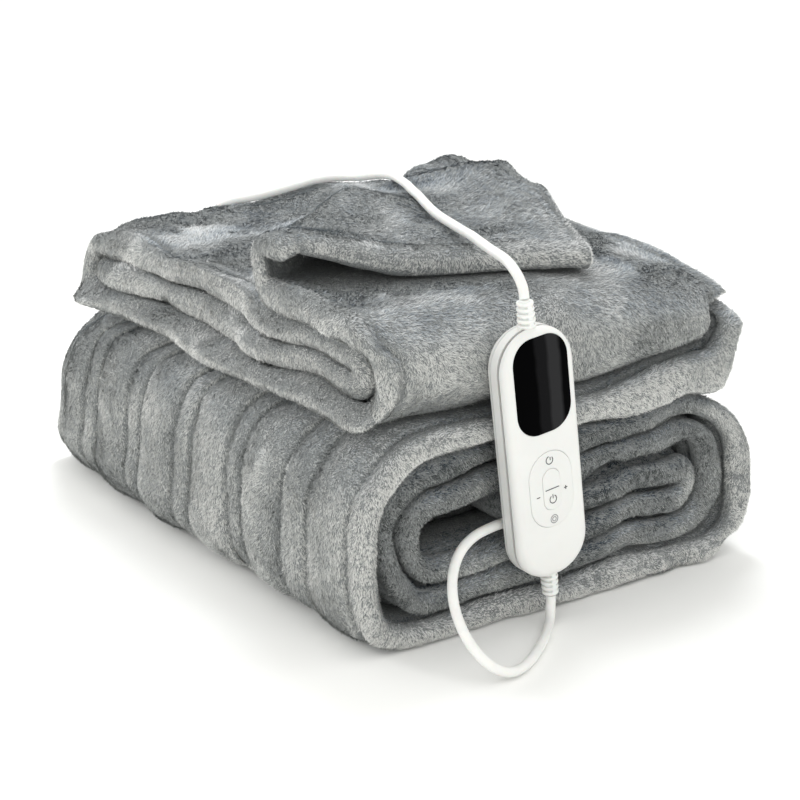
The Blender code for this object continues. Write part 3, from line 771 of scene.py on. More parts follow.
@dataclass
class RolledStrip(Strip):
    """The rolled half of the blanket, with its sewn channels round the roll."""

    half: float = 0.0070
    near_y: float = -0.205
    far_y: float = 0.215
    every: float = 0.0063
    taper_y: float = 0.140
    side_fold_far_y: float = 0.184
    stitch_in: float = 0.0145
    stitch_width: float = 0.0024
    stitch_depth: float = 0.0030
    channel_depth: float = 0.0046
    channel_width: float = 0.0021
    channel_puff: float = 0.0044
    inner_puff: float = 0.30
    rim_puff: float = 0.0013
    warp: float = 0.0056
    recess: float = 0.0120
    spacing: float = 0.0095
    seam_spread: float = 1.25
    channels: tuple[float, ...] = (
        -0.148,
        -0.120,
        -0.074,
        -0.054,
        -0.005,
        0.016,
        0.063,
        0.084,
        0.132,
        0.154,
        0.198,
    )

    def stations(self) -> tuple[np.ndarray, np.ndarray]:
        """Stations along the roll, crowded at its grooves and hems."""
        places = []
        grooves = [self.near_y + self.stitch_in, *self.channels]
        edges = [self.near_y + 0.004, *grooves, self.far_y - 0.004]
        for start, end in zip(edges, edges[1:]):
            count = max(2, round((end - start) / self.spacing))
            places += [start + (end - start) * step / count for step in range(count)]
        for groove in grooves:
            places += [groove + side * step for side in (-1, 1) for step in (0.0016, 0.0034)]
        places = sorted(places)
        apart = [places[0]]
        for place in places[1:]:
            if place - apart[-1] > 0.0011:
                apart.append(place)
        return self.hem_stations(self.near_y, self.far_y, apart)

    def profile(self, y: np.ndarray) -> tuple[np.ndarray, np.ndarray, np.ndarray, np.ndarray]:
        """How the cloth puffs out between its channels' seams and is drawn in at them.

        Args:
            y: The stations.

        Returns:
            The puff, the depth of the seams, how near to a seam each station is, from 0 to 1, and
            which side of its channel it is on, from -1 to 1.
        """
        edges = np.array([self.near_y + self.stitch_in, *self.channels, self.far_y + 0.02])
        index = np.clip(np.searchsorted(edges, y) - 1, 0, len(edges) - 2)
        width = edges[index + 1] - edges[index]
        share = np.clip((y - edges[index]) / width, 0.0, 1.0)
        fullness = 0.45 + 0.55 * smoothed(width, 0.018, 0.045)
        puff = self.channel_puff * np.sin(math.pi * share).clip(0) ** 0.6 * fullness
        puff = np.where(y < edges[0], self.rim_puff, puff)
        drawn = sum(bell(y - groove, self.channel_width) for groove in self.channels)
        stitched = bell(y - edges[0], self.stitch_width)
        grooved = sum(bell(y - groove, self.channel_width * self.seam_spread) for groove in self.channels)
        sewn = np.minimum(grooved + stitched, 1.0)
        # Used as painted light: the pile is drawn lighter on the side of each channel towards the far end.
        lit = -np.cos(math.pi * share) * (y > edges[0])
        return puff, drawn * self.channel_depth + stitched * self.stitch_depth, sewn, lit

    def build(self) -> "RolledStrip":
        """Lofts the roll.

        Returns:
            Itself, with its grid filled.
        """
        path = self.path(ROLL_START, ROLL_TURNS, ROLL_END, self.every)
        self.run_count = len(path)
        stations, shares = self.stations()
        puffs, depths, seams, lits = self.profile(stations)
        lengths = np.concatenate([[0.0], np.cumsum(np.linalg.norm(np.diff(path, axis=0), axis=1))])
        ring_length = self.ring_share(lengths)
        inner = smoothed(ring_length, 0.72, 0.90)
        rows = []
        for y, share, puff, depth in zip(stations, shares, puffs, depths):
            above = (self.half + puff * self.inner_puff - depth) * share * np.ones(len(path))
            below = (self.half + puff - depth) * share * np.ones(len(path))
            ring = self.ring(path, above, below)
            wobble = 0.0014 * np.sin(ring_length / 0.034 + 40.0 * y)
            wobble = wobble + 0.0009 * np.sin(ring_length / 0.015 + 3.0)
            wobble *= smoothed(y, self.near_y + 0.004, self.near_y + 0.03)
            rows.append(self.laid(ring[:, 0], y + wobble, ring[:, 1]))
        self.grid = np.array(rows)
        near = smoothed(self.grid[..., 1], -0.130, -0.205)
        hollow = np.stack([self.grid[..., 0], self.grid[..., 1] * 0.4, self.grid[..., 2]], axis=-1)
        lift = waves(hollow, 17.0, 6.0) * self.warp * near
        up = self.grid[..., 2]
        self.grid[..., 2] += lift * smoothed(up, 0.0, 0.030) * smoothed(up, 0.135, 0.105)
        self.grid[..., 0] += waves(hollow, 15.0, 16.0) * self.warp * 0.6 * near
        pushed = self.recess * (0.55 + 0.45 * waves(hollow, 24.0, 26.0)).clip(0.1, 1.2)
        self.grid[..., 1] += pushed * near * inner[None, :]
        wide = np.ones(len(ring_length))
        self.hem_near = np.minimum(stations - self.near_y, self.far_y - stations)[:, None] * wide
        self.seam = seams[:, None] * wide
        self.inner = np.ones(len(stations))[:, None] * inner
        self.lit = lits[:, None] * smoothed(self.grid[..., 0], -0.090, -0.125)
        return self

    def laid(self, x: np.ndarray, y: np.ndarray, z: np.ndarray) -> np.ndarray:
        """Where points of the straight roll lie in the real one.

        Args:
            x: Their places across the roll.
            y: Their places along it.
            z: Their heights.

        Returns:
            The places, after the roll is tapered, widened and slackened.
        """
        above = smoothed(z, 0.108, 0.128)
        length = 1 - above * (self.far_y - self.side_fold_far_y) / (self.far_y - self.near_y)
        placed_y = self.near_y + (y - self.near_y) * length
        drawn_in = np.maximum(0.0, (y - self.taper_y) / (self.far_y - self.taper_y)) ** 2
        placed_x = x * (1 - 0.07 * drawn_in)
        wider = smoothed(x, -0.110, -0.140) * smoothed(y, -0.110, 0.060) * smoothed(z, 0.060, 0.025)
        placed_x = placed_x - 0.006 * wider
        placed_z = z * (1 - 0.16 * drawn_in * (1 - above))
        parted = 0.012 * smoothed(x, 0.010, 0.100) * smoothed(y, -0.145, -0.190)
        parted = parted * smoothed(z, 0.121, 0.130) * smoothed(z, 0.176, 0.136)
        slack_top = smoothed(x, 0.080, 0.120) * smoothed(z, 0.070, 0.110) * smoothed(z, 0.135, 0.122)
        placed_z = placed_z - 0.005 * slack_top
        set_back = 0.034 * smoothed(z, 0.148, 0.174) * smoothed(y, -0.100, -0.205)
        return np.stack([placed_x, placed_y + set_back, placed_z + parted], axis=-1)


@dataclass
class PackedStrip(Strip):
    """The folded half on top of the roll, with its corner turned back."""

    half: float = 0.0068
    left_x: float = -0.151
    right_x: float = 0.122
    every: float = 0.0059
    floor_z: float = 0.1309
    top_z: float = 0.1966
    fold_start: tuple[float, float] = (-0.158, -0.095)
    fold_end: tuple[float, float] = (0.112, 0.092)
    corner: tuple[float, float] = (0.038, -0.160)
    flap_z: float = 0.2056
    least_flap: float = 0.014
    top_points: int = 38
    turn_points: int = 12
    flap_points: int = 30
    spacing: float = 0.0062
    stitch_in: float = 0.0150
    stitch_depth: float = 0.0020
    rim_puff: float = 0.0013
    stitch_width: float = 0.0030

    def fold_y(self, x: float) -> float:
        """How far back the top layer reaches before it folds over."""
        (x0, y0), (x1, y1) = self.fold_start, self.fold_end
        return y0 + (y1 - y0) / (x1 - x0) * (x - x0)

    def edge_y(self, x: float) -> float:
        """The turned-back corner's free edge."""
        start, end = (self.fold_start, self.corner) if x < self.corner[0] else (self.corner, self.fold_end)
        return start[1] + (end[1] - start[1]) / (end[0] - start[0]) * (x - start[0])

    def station_path(self, x: float) -> tuple[np.ndarray, np.ndarray]:
        """The middle line at one station.

        Args:
            x: The station.

        Returns:
            Rows of (along, up), and each one's share of the corner's rise.
        """
        base = self.path(PACK_START, PACK_TURNS, None, self.every)
        back = self.fold_y(x)
        level = PACK_TURNS[-1].z_after
        radius = (self.flap_z - level) / 2
        start = base[-1][0]
        steps = np.arange(1, self.top_points) / self.top_points
        top = np.stack([start + (back - start) * steps, np.full(len(steps), level)], axis=1)
        angles = math.pi * np.arange(self.turn_points + 1) / self.turn_points
        turned_up = self.flap_z - radius - radius * np.cos(angles)
        turn = np.stack([back + radius * np.sin(angles), turned_up], axis=1)
        edge = min(self.edge_y(x), back - self.least_flap)
        steps = np.arange(1, self.flap_points + 1) / self.flap_points
        flap = np.stack([back + (edge - back) * steps, np.full(len(steps), self.flap_z)], axis=1)
        rise = np.concatenate([np.zeros(len(base) + len(top)), angles / math.pi, np.ones(len(flap))])
        return np.concatenate([base, top, turn, flap]), rise

    def stations(self) -> tuple[np.ndarray, np.ndarray]:
        """Stations across the pack, crowded at its hems."""
        count = round((self.right_x - self.left_x) / self.spacing)
        places = [self.left_x + (self.right_x - self.left_x) * step / count for step in range(1, count)]
        for stitch in (self.left_x + self.stitch_in, self.right_x - self.stitch_in):
            places = [place for place in places if abs(place - stitch) > 0.0048]
            places += [stitch + step for step in (-0.0034, -0.0017, 0.0, 0.0017, 0.0034)]
        return self.hem_stations(self.left_x, self.right_x, sorted(places))

    def build(self) -> "PackedStrip":
        """Lofts the pack.

        Returns:
            Itself, with its grid filled.
        """
        stations, shares = self.stations()
        stitched = bell(stations - self.left_x - self.stitch_in, self.stitch_width)
        stitched = stitched + bell(stations - self.right_x + self.stitch_in, self.stitch_width)
        rows, near, seams = [], [], []
        for x, share, depth in zip(stations, shares, stitched * self.stitch_depth):
            path, rise = self.station_path(x)
            pressed = np.full(len(path), depth)
            lengths = np.concatenate([[0.0], np.cumsum(np.linalg.norm(np.diff(path, axis=0), axis=1))])
            from_end = lengths[-1] - lengths
            pressed_end = self.stitch_depth * bell(from_end - self.stitch_in, self.stitch_width)
            side = min(x - self.left_x, self.right_x - x)
            rim = 1 - smoothed(np.minimum(from_end, side), 0.009, 0.014)
            half = (self.half - pressed - pressed_end + self.rim_puff * rim) * share
            ring = self.ring(path, half, half)
            rows.append(self.laid(np.full(len(ring), x), ring[:, 0], ring[:, 1], self.ring_share(rise)))
            near.append(np.minimum(self.ring_share(from_end), side))
            seams.append(0.5 * np.minimum(self.ring_share(pressed + pressed_end) / self.stitch_depth, 1.0))
            self.run_count = len(path)
        self.grid = np.array(rows)
        self.hem_near = np.array(near)
        self.seam = np.array(seams)
        self.inner = np.zeros(self.hem_near.shape)
        self.lit = np.zeros(self.hem_near.shape)
        return self

    def laid(self, x: np.ndarray, y: np.ndarray, z: np.ndarray, rise: np.ndarray) -> np.ndarray:
        """Where points of the straight pack lie in the real one.

        Args:
            x: Their places across the pack.
            y: Their places along its folds.
            z: Their heights.
            rise: Each one's share of the turned-back corner's rise.

        Returns:
            The places, after the pack sags, bulges and tucks in.
        """
        level = np.clip((z - self.floor_z) / (self.top_z - self.floor_z), 0.0, 1.0)
        puff = (0.009 - 0.005 * smoothed(x, -0.100, 0.020)) * smoothed(y, -0.080, 0.060)
        puff = puff + 0.017 * smoothed(x, -0.050, 0.050) * smoothed(y, 0.025, 0.150)
        droop = 0.010 * smoothed(x, -0.020, 0.100) * smoothed(y, -0.105, -0.185)
        placed_z = z + level * (puff - droop)
        press = 0.07 * smoothed(x, 0.055, 0.105) + 0.12 * smoothed(x, 0.100, 0.130)
        placed_z = placed_z - (placed_z - self.floor_z) * press
        parted = smoothed(x, 0.010, 0.100) * smoothed(y, -0.145, -0.190)
        placed_z = placed_z + 0.012 * parted * (1 - level)
        lift = np.zeros_like(x)
        for bump in FLAP_RISES:
            away = ((x - bump.x) / bump.spread_x) ** 2 + ((y - bump.y) / bump.spread_y) ** 2
            lift = lift + bump.height * np.exp(-away)
        placed_z = placed_z + rise * lift
        uneven = 0.0025 * np.sin(31 * y + 90 * z) * smoothed(x, -0.100, -0.140)
        corner = 0.012 * smoothed(x, 0.090, 0.124) * smoothed(y, -0.150, -0.190)
        at = np.stack([x * 0.3, y, z], axis=-1)
        tucked = 0.0075 * smoothed(level, 0.10, 0.24) * smoothed(level, 0.84, 0.70)
        tucked = tucked * (1 + 0.7 * waves(at, 21.0, 12.0)) * smoothed(x, -0.110, -0.146) * (1 - rise)
        rumpled = 0.0024 * waves(at, 19.0, 33.0) * smoothed(x, -0.090, -0.140) * smoothed(level, 1.0, 0.8)
        placed_z = placed_z + rumpled
        far_left = smoothed(x, -0.105, -0.150) * smoothed(y, 0.105, 0.185)
        placed_z = placed_z - 0.012 * far_left * level
        outer = smoothed(level, 0.84, 0.95) + smoothed(level, 0.16, 0.05)
        bulged = 0.009 * smoothed(x, 0.070, 0.122) - 0.007 * far_left * outer
        tucked = tucked * (1 - 0.4 * far_left)
        behind_fold = smoothed(level, 0.78, 0.70) * (1 - rise)
        tucked = tucked - 0.021 * smoothed(x, 0.088, 0.122) * behind_fold
        placed_z = placed_z + 0.003 * smoothed(level, 0.80, 0.95) * smoothed(x, -0.118, -0.144)
        placed_z = placed_z + 0.003 * smoothed(x, 0.070, 0.115) * level
        crest = smoothed(y, 0.110, 0.145) * smoothed(x, -0.075, -0.020) * smoothed(x, 0.075, 0.045)
        placed_z = placed_z + 0.0055 * crest * level
        return np.stack([x + uneven + tucked + bulged, y + corner, placed_z], axis=-1)


@dataclass
class Blanket:
    """The whole cloth."""

    flat: tuple[float, float] = (1.02, 1.52)
    slack: float = 0.0011
    floor_gap: float = 0.0003
    full_dent: float = 0.0045
    finish: PlushFinish = field(default_factory=PlushFinish)

    def build(self) -> bpy.types.Object:
        """Makes the cloth.

        Returns:
            The sheet, dressed, with how near each vertex is to hems and seams stored on it.
        """
        strips = (RolledStrip().build(), PackedStrip().build())
        points, quads, closing, offset = [], [], [], 0
        kept = {"hem": [], "seam": [], "inner": [], "lit": []}
        for number, strip in enumerate(strips):
            grid = strip.grid
            normal = strip.normals()
            if number == 0:
                inner = waves(grid, 26.0, 3.0) * 0.7 + waves(grid, 62.0, 9.0) * 0.45
            else:
                inner = waves(grid, 21.0, 5.0) * 1.1 + waves(grid, 55.0, 1.0) * 0.5
            pressed = sum(crease_depth(grid, crease) for crease in CREASES)
            moved = grid + normal * (self.slack * inner - pressed)[..., None]
            moved[..., 2] = np.maximum(moved[..., 2], self.floor_gap)
            strip.grid = moved
            made_quads, made_closing = strip.faces(offset)
            points.append(moved.reshape(-1, 3))
            quads.append(made_quads)
            closing += made_closing
            kept["hem"].append(strip.hem_near.reshape(-1))
            dented = 0.75 * np.clip(pressed / self.full_dent, 0.0, 1.0)
            kept["seam"].append(np.maximum(strip.seam, dented).reshape(-1))
            kept["lit"].append(strip.lit.reshape(-1))
            kept["inner"].append(strip.inner.reshape(-1))
            offset += moved.shape[0] * moved.shape[1]
        mesh = bpy.data.meshes.new("blanket_cloth")
        every = [list(map(int, quad)) for quad in np.concatenate(quads)] + closing
        mesh.from_pydata(np.concatenate(points).tolist(), [], every)
        shape = bmesh.new()
        shape.from_mesh(mesh)
        bmesh.ops.recalc_face_normals(shape, faces=shape.faces)
        shape.to_mesh(mesh)
        shape.free()
        mesh.shade_smooth()
        for name, values in kept.items():
            store(mesh, name, np.concatenate(values))
        cloth = linked("blanket_cloth", mesh)
        dress(cloth, self.finish.ground())
        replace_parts(cloth, "blanket")
        return cloth


def store(mesh: bpy.types.Mesh, name: str, values: np.ndarray) -> None:
    """Stores one number for each vertex."""
    attribute = mesh.attributes.new(name, "FLOAT", "POINT")
    attribute.data.foreach_set("value", values.astype(np.float32))


def read(mesh: bpy.types.Mesh, name: str) -> np.ndarray:
    """The numbers stored under a name.

    Args:
        mesh: The mesh.
        name: The attribute's name.

    Returns:
        One number for each vertex.
    """
    values = np.zeros(len(mesh.vertices), np.float32)
    mesh.attributes[name].data.foreach_get("value", values)
    return values


class Side(Enum):
    """Which way a stretch of cloth faces."""

    TOP = "top"
    LEFT = "left"
    NEAR_END = "near_end"
    REST = "rest"


@dataclass
class Pile:
    """The plush pile: tapered fibres on all of the cloth that shows."""

    length: float = 0.0036
    width: float = 0.00076
    side_size: float = 0.82
    root_depth: float = 0.0003
    lay: float = math.radians(17)
    lay_spread: float = math.radians(9)
    sideways: float = 0.34
    tuft: float = 0.30
    tone_spread: float = 0.22
    tuft_tone: float = 0.05
    base_tone: float = 0.67
    # Painted light in the pile's tone: lighter on rims and at the near end.
    rim_painted_light: float = 0.36
    end_painted_light: float = 0.24
    # Painted shade in the pile's tone: darker low on the left, at the right of the folded half and inside the
    # roll.
    low_painted_shade: float = 0.17
    right_painted_shade: float = 0.15
    inner_painted_shade: float = 0.62
    # Painted shade in the pile's tone: darker in seams, stitch lines and creases.
    seam_painted_shade: float = 0.60
    # Painted light in the pile's tone: lighter on one side of each channel of the roll.
    channel_painted_light: float = 0.13
    density: dict[Side, float] = field(
        default_factory=lambda: {
            Side.TOP: 1.55e6,
            Side.LEFT: 2.3e6,
            Side.NEAR_END: 2.4e6,
            Side.REST: 0.80e6,
        }
    )
    most: int = 196000
    rays: int = 10
    finish: PlushFinish = field(default_factory=PlushFinish)

    def build(self, cloth: bpy.types.Object) -> list[bpy.types.Object]:
        """Plants the pile.

        Args:
            cloth: The sheet that it grows on.

        Returns:
            One piece for each side.
        """
        rng = np.random.default_rng(SEED)
        mesh = cloth.data
        mesh.calc_loop_triangles()
        count = len(mesh.vertices)
        place = np.zeros(count * 3)
        mesh.vertices.foreach_get("co", place)
        place = place.reshape(-1, 3)
        normal = np.zeros(count * 3, np.float32)
        mesh.vertex_normals.foreach_get("vector", normal)
        normal = normal.reshape(-1, 3).astype(float)
        hem, seam, inner = (read(mesh, name) for name in ("hem", "seam", "inner"))
        triangles = np.zeros(len(mesh.loop_triangles) * 3, np.int32)
        mesh.loop_triangles.foreach_get("vertices", triangles)
        triangles = triangles.reshape(-1, 3)
        open_share = self.openness(place, triangles, rng)
        flow = self.flow(place, normal)
        # Painted shade: the pile is darker in seams, stitch lines and creases.
        tone = self.tone(place, normal, hem, inner) - self.seam_painted_shade * seam
        # Painted light: lighter on one side of each channel of the roll.
        tone = tone + self.channel_painted_light * read(mesh, "lit")
        corners = place[triangles]
        spanned = np.cross(corners[:, 1] - corners[:, 0], corners[:, 2] - corners[:, 0])
        area = np.linalg.norm(spanned, axis=1) / 2
        facing = normal[triangles].mean(axis=1)
        side_of = np.full(len(triangles), 3)
        side_of[facing[:, 1] < -0.45] = 2
        side_of[facing[:, 0] < -0.60] = 1
        side_of[facing[:, 2] > 0.60] = 0
        shows = open_share > 0.0
        finish = self.finish.pile()
        pieces = []
        for number, side in enumerate(Side):
            weight = np.where(shows & (side_of == number), area * (0.45 + 0.55 * open_share), 0.0)
            wanted = min(self.most, int(weight.sum() * self.density[side]))
            log.info("%s: %.3f square metres, %d fibres", side.value, weight.sum(), wanted)
            chosen = rng.choice(len(triangles), wanted, p=weight / weight.sum())
            piece = self.plant(side, chosen, triangles, place, normal, flow, tone, hem, seam, rng)
            pieces.append(dress(piece, finish))
        return pieces

    def openness(self, place: np.ndarray, triangles: np.ndarray, rng: np.random.Generator) -> np.ndarray:
        """How far each triangle is open to the room.

        Args:
            place: The cloth's vertices.
            triangles: Its triangles.
            rng: The random numbers.

        Returns:
            The share of rays that get away from each triangle.
        """
        tree = BVHTree.FromPolygons(place.tolist(), triangles.tolist())
        corners = place[triangles]
        middle = corners.mean(axis=1)
        face = np.cross(corners[:, 1] - corners[:, 0], corners[:, 2] - corners[:, 0])
        face /= np.linalg.norm(face, axis=1, keepdims=True) + 1e-15
        directions = rng.normal(size=(self.rays, 3))
        directions /= np.linalg.norm(directions, axis=1, keepdims=True)
        result = np.zeros(len(triangles))
        start = middle + face * 0.0006
        for step in range(self.rays):
            way = face * 1.02 + directions[step]
            way /= np.linalg.norm(way, axis=1, keepdims=True)
            todo = np.arange(len(triangles)) if step < 5 else np.nonzero(result > 0)[0]
            for index in todo.tolist():
                if tree.ray_cast(start[index], way[index], 0.25)[0] is None:
                    result[index] += 1
        return result / self.rays

    @staticmethod
    def flow(place: np.ndarray, normal: np.ndarray) -> np.ndarray:
        """Which way the nap is brushed at each vertex.

        Args:
            place: The vertices.
            normal: Their normals.

        Returns:
            Directions of length 1 along the surface.
        """
        steep = 1.0 - np.abs(normal[:, 2:3])
        drift_waves = ((17.0, 20.0), (17.0, 31.0), (15.0, 44.0))
        drift = np.stack([waves(place, *wave) for wave in drift_waves], axis=1)
        fine = np.stack([waves(place, 60.0, shift) for shift in (50.0, 61.0, 74.0)], axis=1)
        brushed = np.array([0.35, -0.75, 0.0]) * (1 - steep) + np.array([0.0, -0.12, -1.0]) * steep
        way = brushed + drift * (1.15 - 0.55 * steep) + fine * 0.45
        way -= normal * (way * normal).sum(axis=1, keepdims=True)
        return way / (np.linalg.norm(way, axis=1, keepdims=True) + 1e-9)

    def tone(
        self, place: np.ndarray, normal: np.ndarray, hem: np.ndarray, inner: np.ndarray
    ) -> np.ndarray:
        """How light the pile is drawn, from 0 for dark to 1 for light.

        Only the patches are brushed nap. The rest is set by place and is part of the
        colour: painted light on rims and at the near end, and painted shade inside the roll,
        low on the left and at the right of the folded half.

        Args:
            place: The cloth's vertices.
            normal: Their normals.
            hem: Their distance from a hem.
            inner: How far inside the roll they are, from 0 to 1.

        Returns:
            The tone at each vertex.
        """
        brushed = ((13.0, 80.0, 0.15), (36.0, 90.0, 0.25), (95.0, 97.0, 0.11))
        patches = sum(waves(place, scale, shift) * share for scale, shift, share in brushed)
        up = smoothed(normal[:, 2], 0.35, 0.95)
        # Painted light: lighter on rims and on the faces of the near end.
        rim = self.rim_painted_light * (1 - smoothed(hem, 0.004, 0.014)) * (1 - inner)
        front = self.end_painted_light * smoothed(-normal[:, 1], 0.30, 0.80) * (1 - inner)
        front = front * smoothed(place[:, 2], 0.135, 0.115)
        # Painted shade: darker low on the left face, at the right of the folded half and inside the roll.
        low = self.low_painted_shade * smoothed(-normal[:, 0], 0.30, 0.80) * smoothed(place[:, 2], 0.080, 0.025)
        right = self.right_painted_shade * smoothed(place[:, 0], 0.020, 0.110) * smoothed(place[:, 2], 0.120, 0.140)
        painted = self.base_tone + patches * (1.25 + 0.35 * up) + rim + front - low - right
        return painted - self.inner_painted_shade * inner

    def plant(
        self,
        side: Side,
        chosen: np.ndarray,
        triangles: np.ndarray,
        place: np.ndarray,
        normal: np.ndarray,
        flow: np.ndarray,
        tone: np.ndarray,
        hem: np.ndarray,
        seam: np.ndarray,
        rng: np.random.Generator,
    ) -> bpy.types.Object:
        """Makes one piece of pile.

        Args:
            side: The side it is for.
            chosen: The triangle that each fibre grows on.
            triangles: The cloth's triangles.
            place: Its vertices.
            normal: Their normals.
            flow: The nap's direction at them.
            tone: The nap's tone at them.
            hem: Their distance from a hem.
            seam: How near they are to a seam, from 0 to 1.
            rng: The random numbers.

        Returns:
            A mesh object with one tapered triangle for each fibre.
        """
        count = len(chosen)
        share = rng.random((count, 2))
        over = share.sum(axis=1) > 1
        share[over] = 1 - share[over]
        weights = np.stack([1 - share.sum(axis=1), share[:, 0], share[:, 1]], axis=1)[..., None]
        corners = triangles[chosen]
        root = (place[corners] * weights).sum(axis=1)
        up = (normal[corners] * weights).sum(axis=1)
        up /= np.linalg.norm(up, axis=1, keepdims=True)
        tufts = np.stack([waves(root, 260.0, shift) for shift in (130.0, 141.0, 152.0)], axis=1)
        way = (flow[corners] * weights).sum(axis=1)
        way = way + rng.normal(size=(count, 3)) * self.sideways + tufts * self.tuft
        way -= up * (way * up).sum(axis=1, keepdims=True)
        way /= np.linalg.norm(way, axis=1, keepdims=True) + 1e-9
        near = (hem[corners] * weights[..., 0]).sum(axis=1)
        rim = 1 - smoothed(near, 0.005, 0.016)
        lay = self.lay + self.lay_spread * rng.normal(size=count) + math.radians(5) * rim
        lay = np.clip(lay, math.radians(5), math.radians(75))[:, None]
        direction = up * np.sin(lay) + way * np.cos(lay)
        sewn = (seam[corners] * weights[..., 0]).sum(axis=1)
        size = 1.0 if side is Side.TOP else self.side_size
        length = self.length * size * (0.72 + 0.56 * rng.random(count))
        length = length * (1 - 0.20 * rim) * (1 - 0.55 * sewn)
        aside = np.cross(direction, up)
        aside /= np.linalg.norm(aside, axis=1, keepdims=True) + 1e-9
        half = (self.width / 2 * size * (0.7 + 0.6 * rng.random(count)))[:, None]
        start = root + up * (0.0003 * tufts[:, :1] - self.root_depth)
        tip = start + direction * length[:, None]
        tip[:, 2] = np.maximum(tip[:, 2], 0.0004)
        fibres = np.stack([start - aside * half, start + aside * half, tip], axis=1)
        leaning = up - direction * (up * direction).sum(axis=1, keepdims=True)
        shading = up * 0.9 + leaning * 0.3 + tufts * 0.14 + rng.normal(size=(count, 3)) * 0.30
        shading /= np.linalg.norm(shading, axis=1, keepdims=True)
        value = (tone[corners] * weights[..., 0]).sum(axis=1)
        value = value + self.tone_spread * rng.normal(size=count) + self.tuft_tone * tufts[:, 0]
        reach = np.tile(np.array([0.0, 0.0, 1.0]), count)
        upward = smoothed(up[:, 2], 0.15, 0.85)
        values = {"tone": np.repeat(value, 3).clip(0, 1), "reach": reach, "upward": np.repeat(upward, 3)}
        return self.fibre_mesh(f"pile_{side.value}", fibres, shading, values)

    @staticmethod
    def fibre_mesh(
        name: str, corners: np.ndarray, shading: np.ndarray, values: dict[str, np.ndarray]
    ) -> bpy.types.Object:
        """A mesh of separate triangles, each with its own cell of the bake's map.

        Args:
            name: The piece's name.
            corners: Three places for each triangle.
            shading: The normal that each triangle is shaded with.
            values: Numbers for each vertex, by attribute name.

        Returns:
            The mesh object.
        """
        count = len(corners)
        mesh = bpy.data.meshes.new(name)
        mesh.vertices.add(count * 3)
        mesh.vertices.foreach_set("co", corners.astype(np.float32).ravel())
        mesh.loops.add(count * 3)
        mesh.loops.foreach_set("vertex_index", np.arange(count * 3, dtype=np.int32))
        mesh.polygons.add(count)
        mesh.polygons.foreach_set("loop_start", np.arange(0, count * 3, 3, dtype=np.int32))
        mesh.update(calc_edges=True)
        for kind, numbers in values.items():
            store(mesh, kind, numbers)
        cells = math.ceil(math.sqrt(count / 2))
        cell = np.arange(count) // 2
        lower_half = [[0.08, 0.08], [0.80, 0.08], [0.08, 0.80]]
        upper_half = [[0.92, 0.92], [0.20, 0.92], [0.92, 0.20]]
        corner = np.array([lower_half, upper_half])
        at = np.stack([cell % cells, cell // cells], axis=1)[:, None, :]
        uv = (at + corner[np.arange(count) % 2]) / cells
        layer = mesh.uv_layers.new(name="OFBake")
        layer.uv.foreach_set("vector", uv.astype(np.float32).ravel())
        mesh.shade_smooth()
        mesh.normals_split_custom_set_from_vertices(np.repeat(shading, 3, axis=0).astype(np.float32))
        return linked(name, mesh)


# ----------------------------------------------------------------- the controller


@dataclass(frozen=True)
class ControllerFrame:
    """Where the controller hangs: X across it, Y through it with its keys at -Y, Z along it."""

    place: tuple[float, float, float] = (-0.0423, -0.21555, 0.1094)
    lean: float = math.radians(-7.6)

    def matrix(self) -> Matrix:
        """From the controller's own frame to the model's."""
        return Matrix.Translation(self.place) @ Matrix.Rotation(self.lean, 4, "Y")


@dataclass
class Plate:
    """A plate standing in XZ with round corners and rounded front edges."""

    name: str
    size: tuple[float, float, float]
    place: tuple[float, float, float]
    corner: float
    edge: float
    edge_segments: int = 6

    def build(self) -> bpy.types.Object:
        """Models the plate from a cube.

        Returns:
            The plate, in the controller's frame.
        """
        clear_selection()
        bpy.ops.mesh.primitive_cube_add(size=1, location=self.place)
        piece = bpy.context.object
        piece.name = self.name
        piece.data.name = self.name
        piece.scale = self.size
        bpy.ops.object.transform_apply(location=True, rotation=False, scale=True)
        edit_edges(piece, lambda a, b: abs((a - b).normalized().y) > 0.9)
        bpy.ops.mesh.bevel(offset=self.corner, offset_type="OFFSET", segments=18, affect="EDGES")
        bpy.ops.object.mode_set(mode="OBJECT")
        if self.edge:
            edit_edges(piece, lambda a, b: abs(a.y - b.y) < 1e-6)
            bpy.ops.mesh.bevel(
                offset=self.edge, offset_type="OFFSET", segments=self.edge_segments, affect="EDGES"
            )
            bpy.ops.object.mode_set(mode="OBJECT")
        piece.data.shade_smooth()
        return piece

    def grown(self, name: str, by: float, forward: float) -> bpy.types.Object:
        """A cutter a little larger than the plate, reaching forward out of its pocket.

        Args:
            name: Its name.
            by: How much larger it is on each side.
            forward: How far it reaches forward.

        Returns:
            The cutter.
        """
        width, depth, height = self.size
        x, y, z = self.place
        size = (width + 2 * by, depth + forward, height + 2 * by)
        cutter = Plate(name, size, (x, y - forward / 2 + by, z), self.corner + by, 0.0)
        return cutter.build()


def cut(piece: bpy.types.Object, cutter: bpy.types.Object) -> None:
    """Cuts one mesh from another and removes the cutter.

    Args:
        piece: The mesh that is cut.
        cutter: The mesh that is taken away from it.
    """
    modifier = piece.modifiers.new("cut", "BOOLEAN")
    modifier.operation = "DIFFERENCE"
    modifier.object = cutter
    apply_modifiers(piece)
    bpy.data.objects.remove(cutter)


def bisected(piece: bpy.types.Object, y: float, keep_front: bool) -> None:
    """Keeps what is on one side of a plane across Y, and closes the cut.

    Args:
        piece: The mesh object.
        y: Where the plane lies.
        keep_front: Whether the side towards -Y is kept.
    """
    edit_edges(piece, lambda a, b: True)
    bpy.ops.mesh.bisect(
        plane_co=(0, y, 0),
        plane_no=(0, 1, 0),
        use_fill=True,
        clear_outer=keep_front,
        clear_inner=not keep_front,
    )
    bpy.ops.object.mode_set(mode="OBJECT")


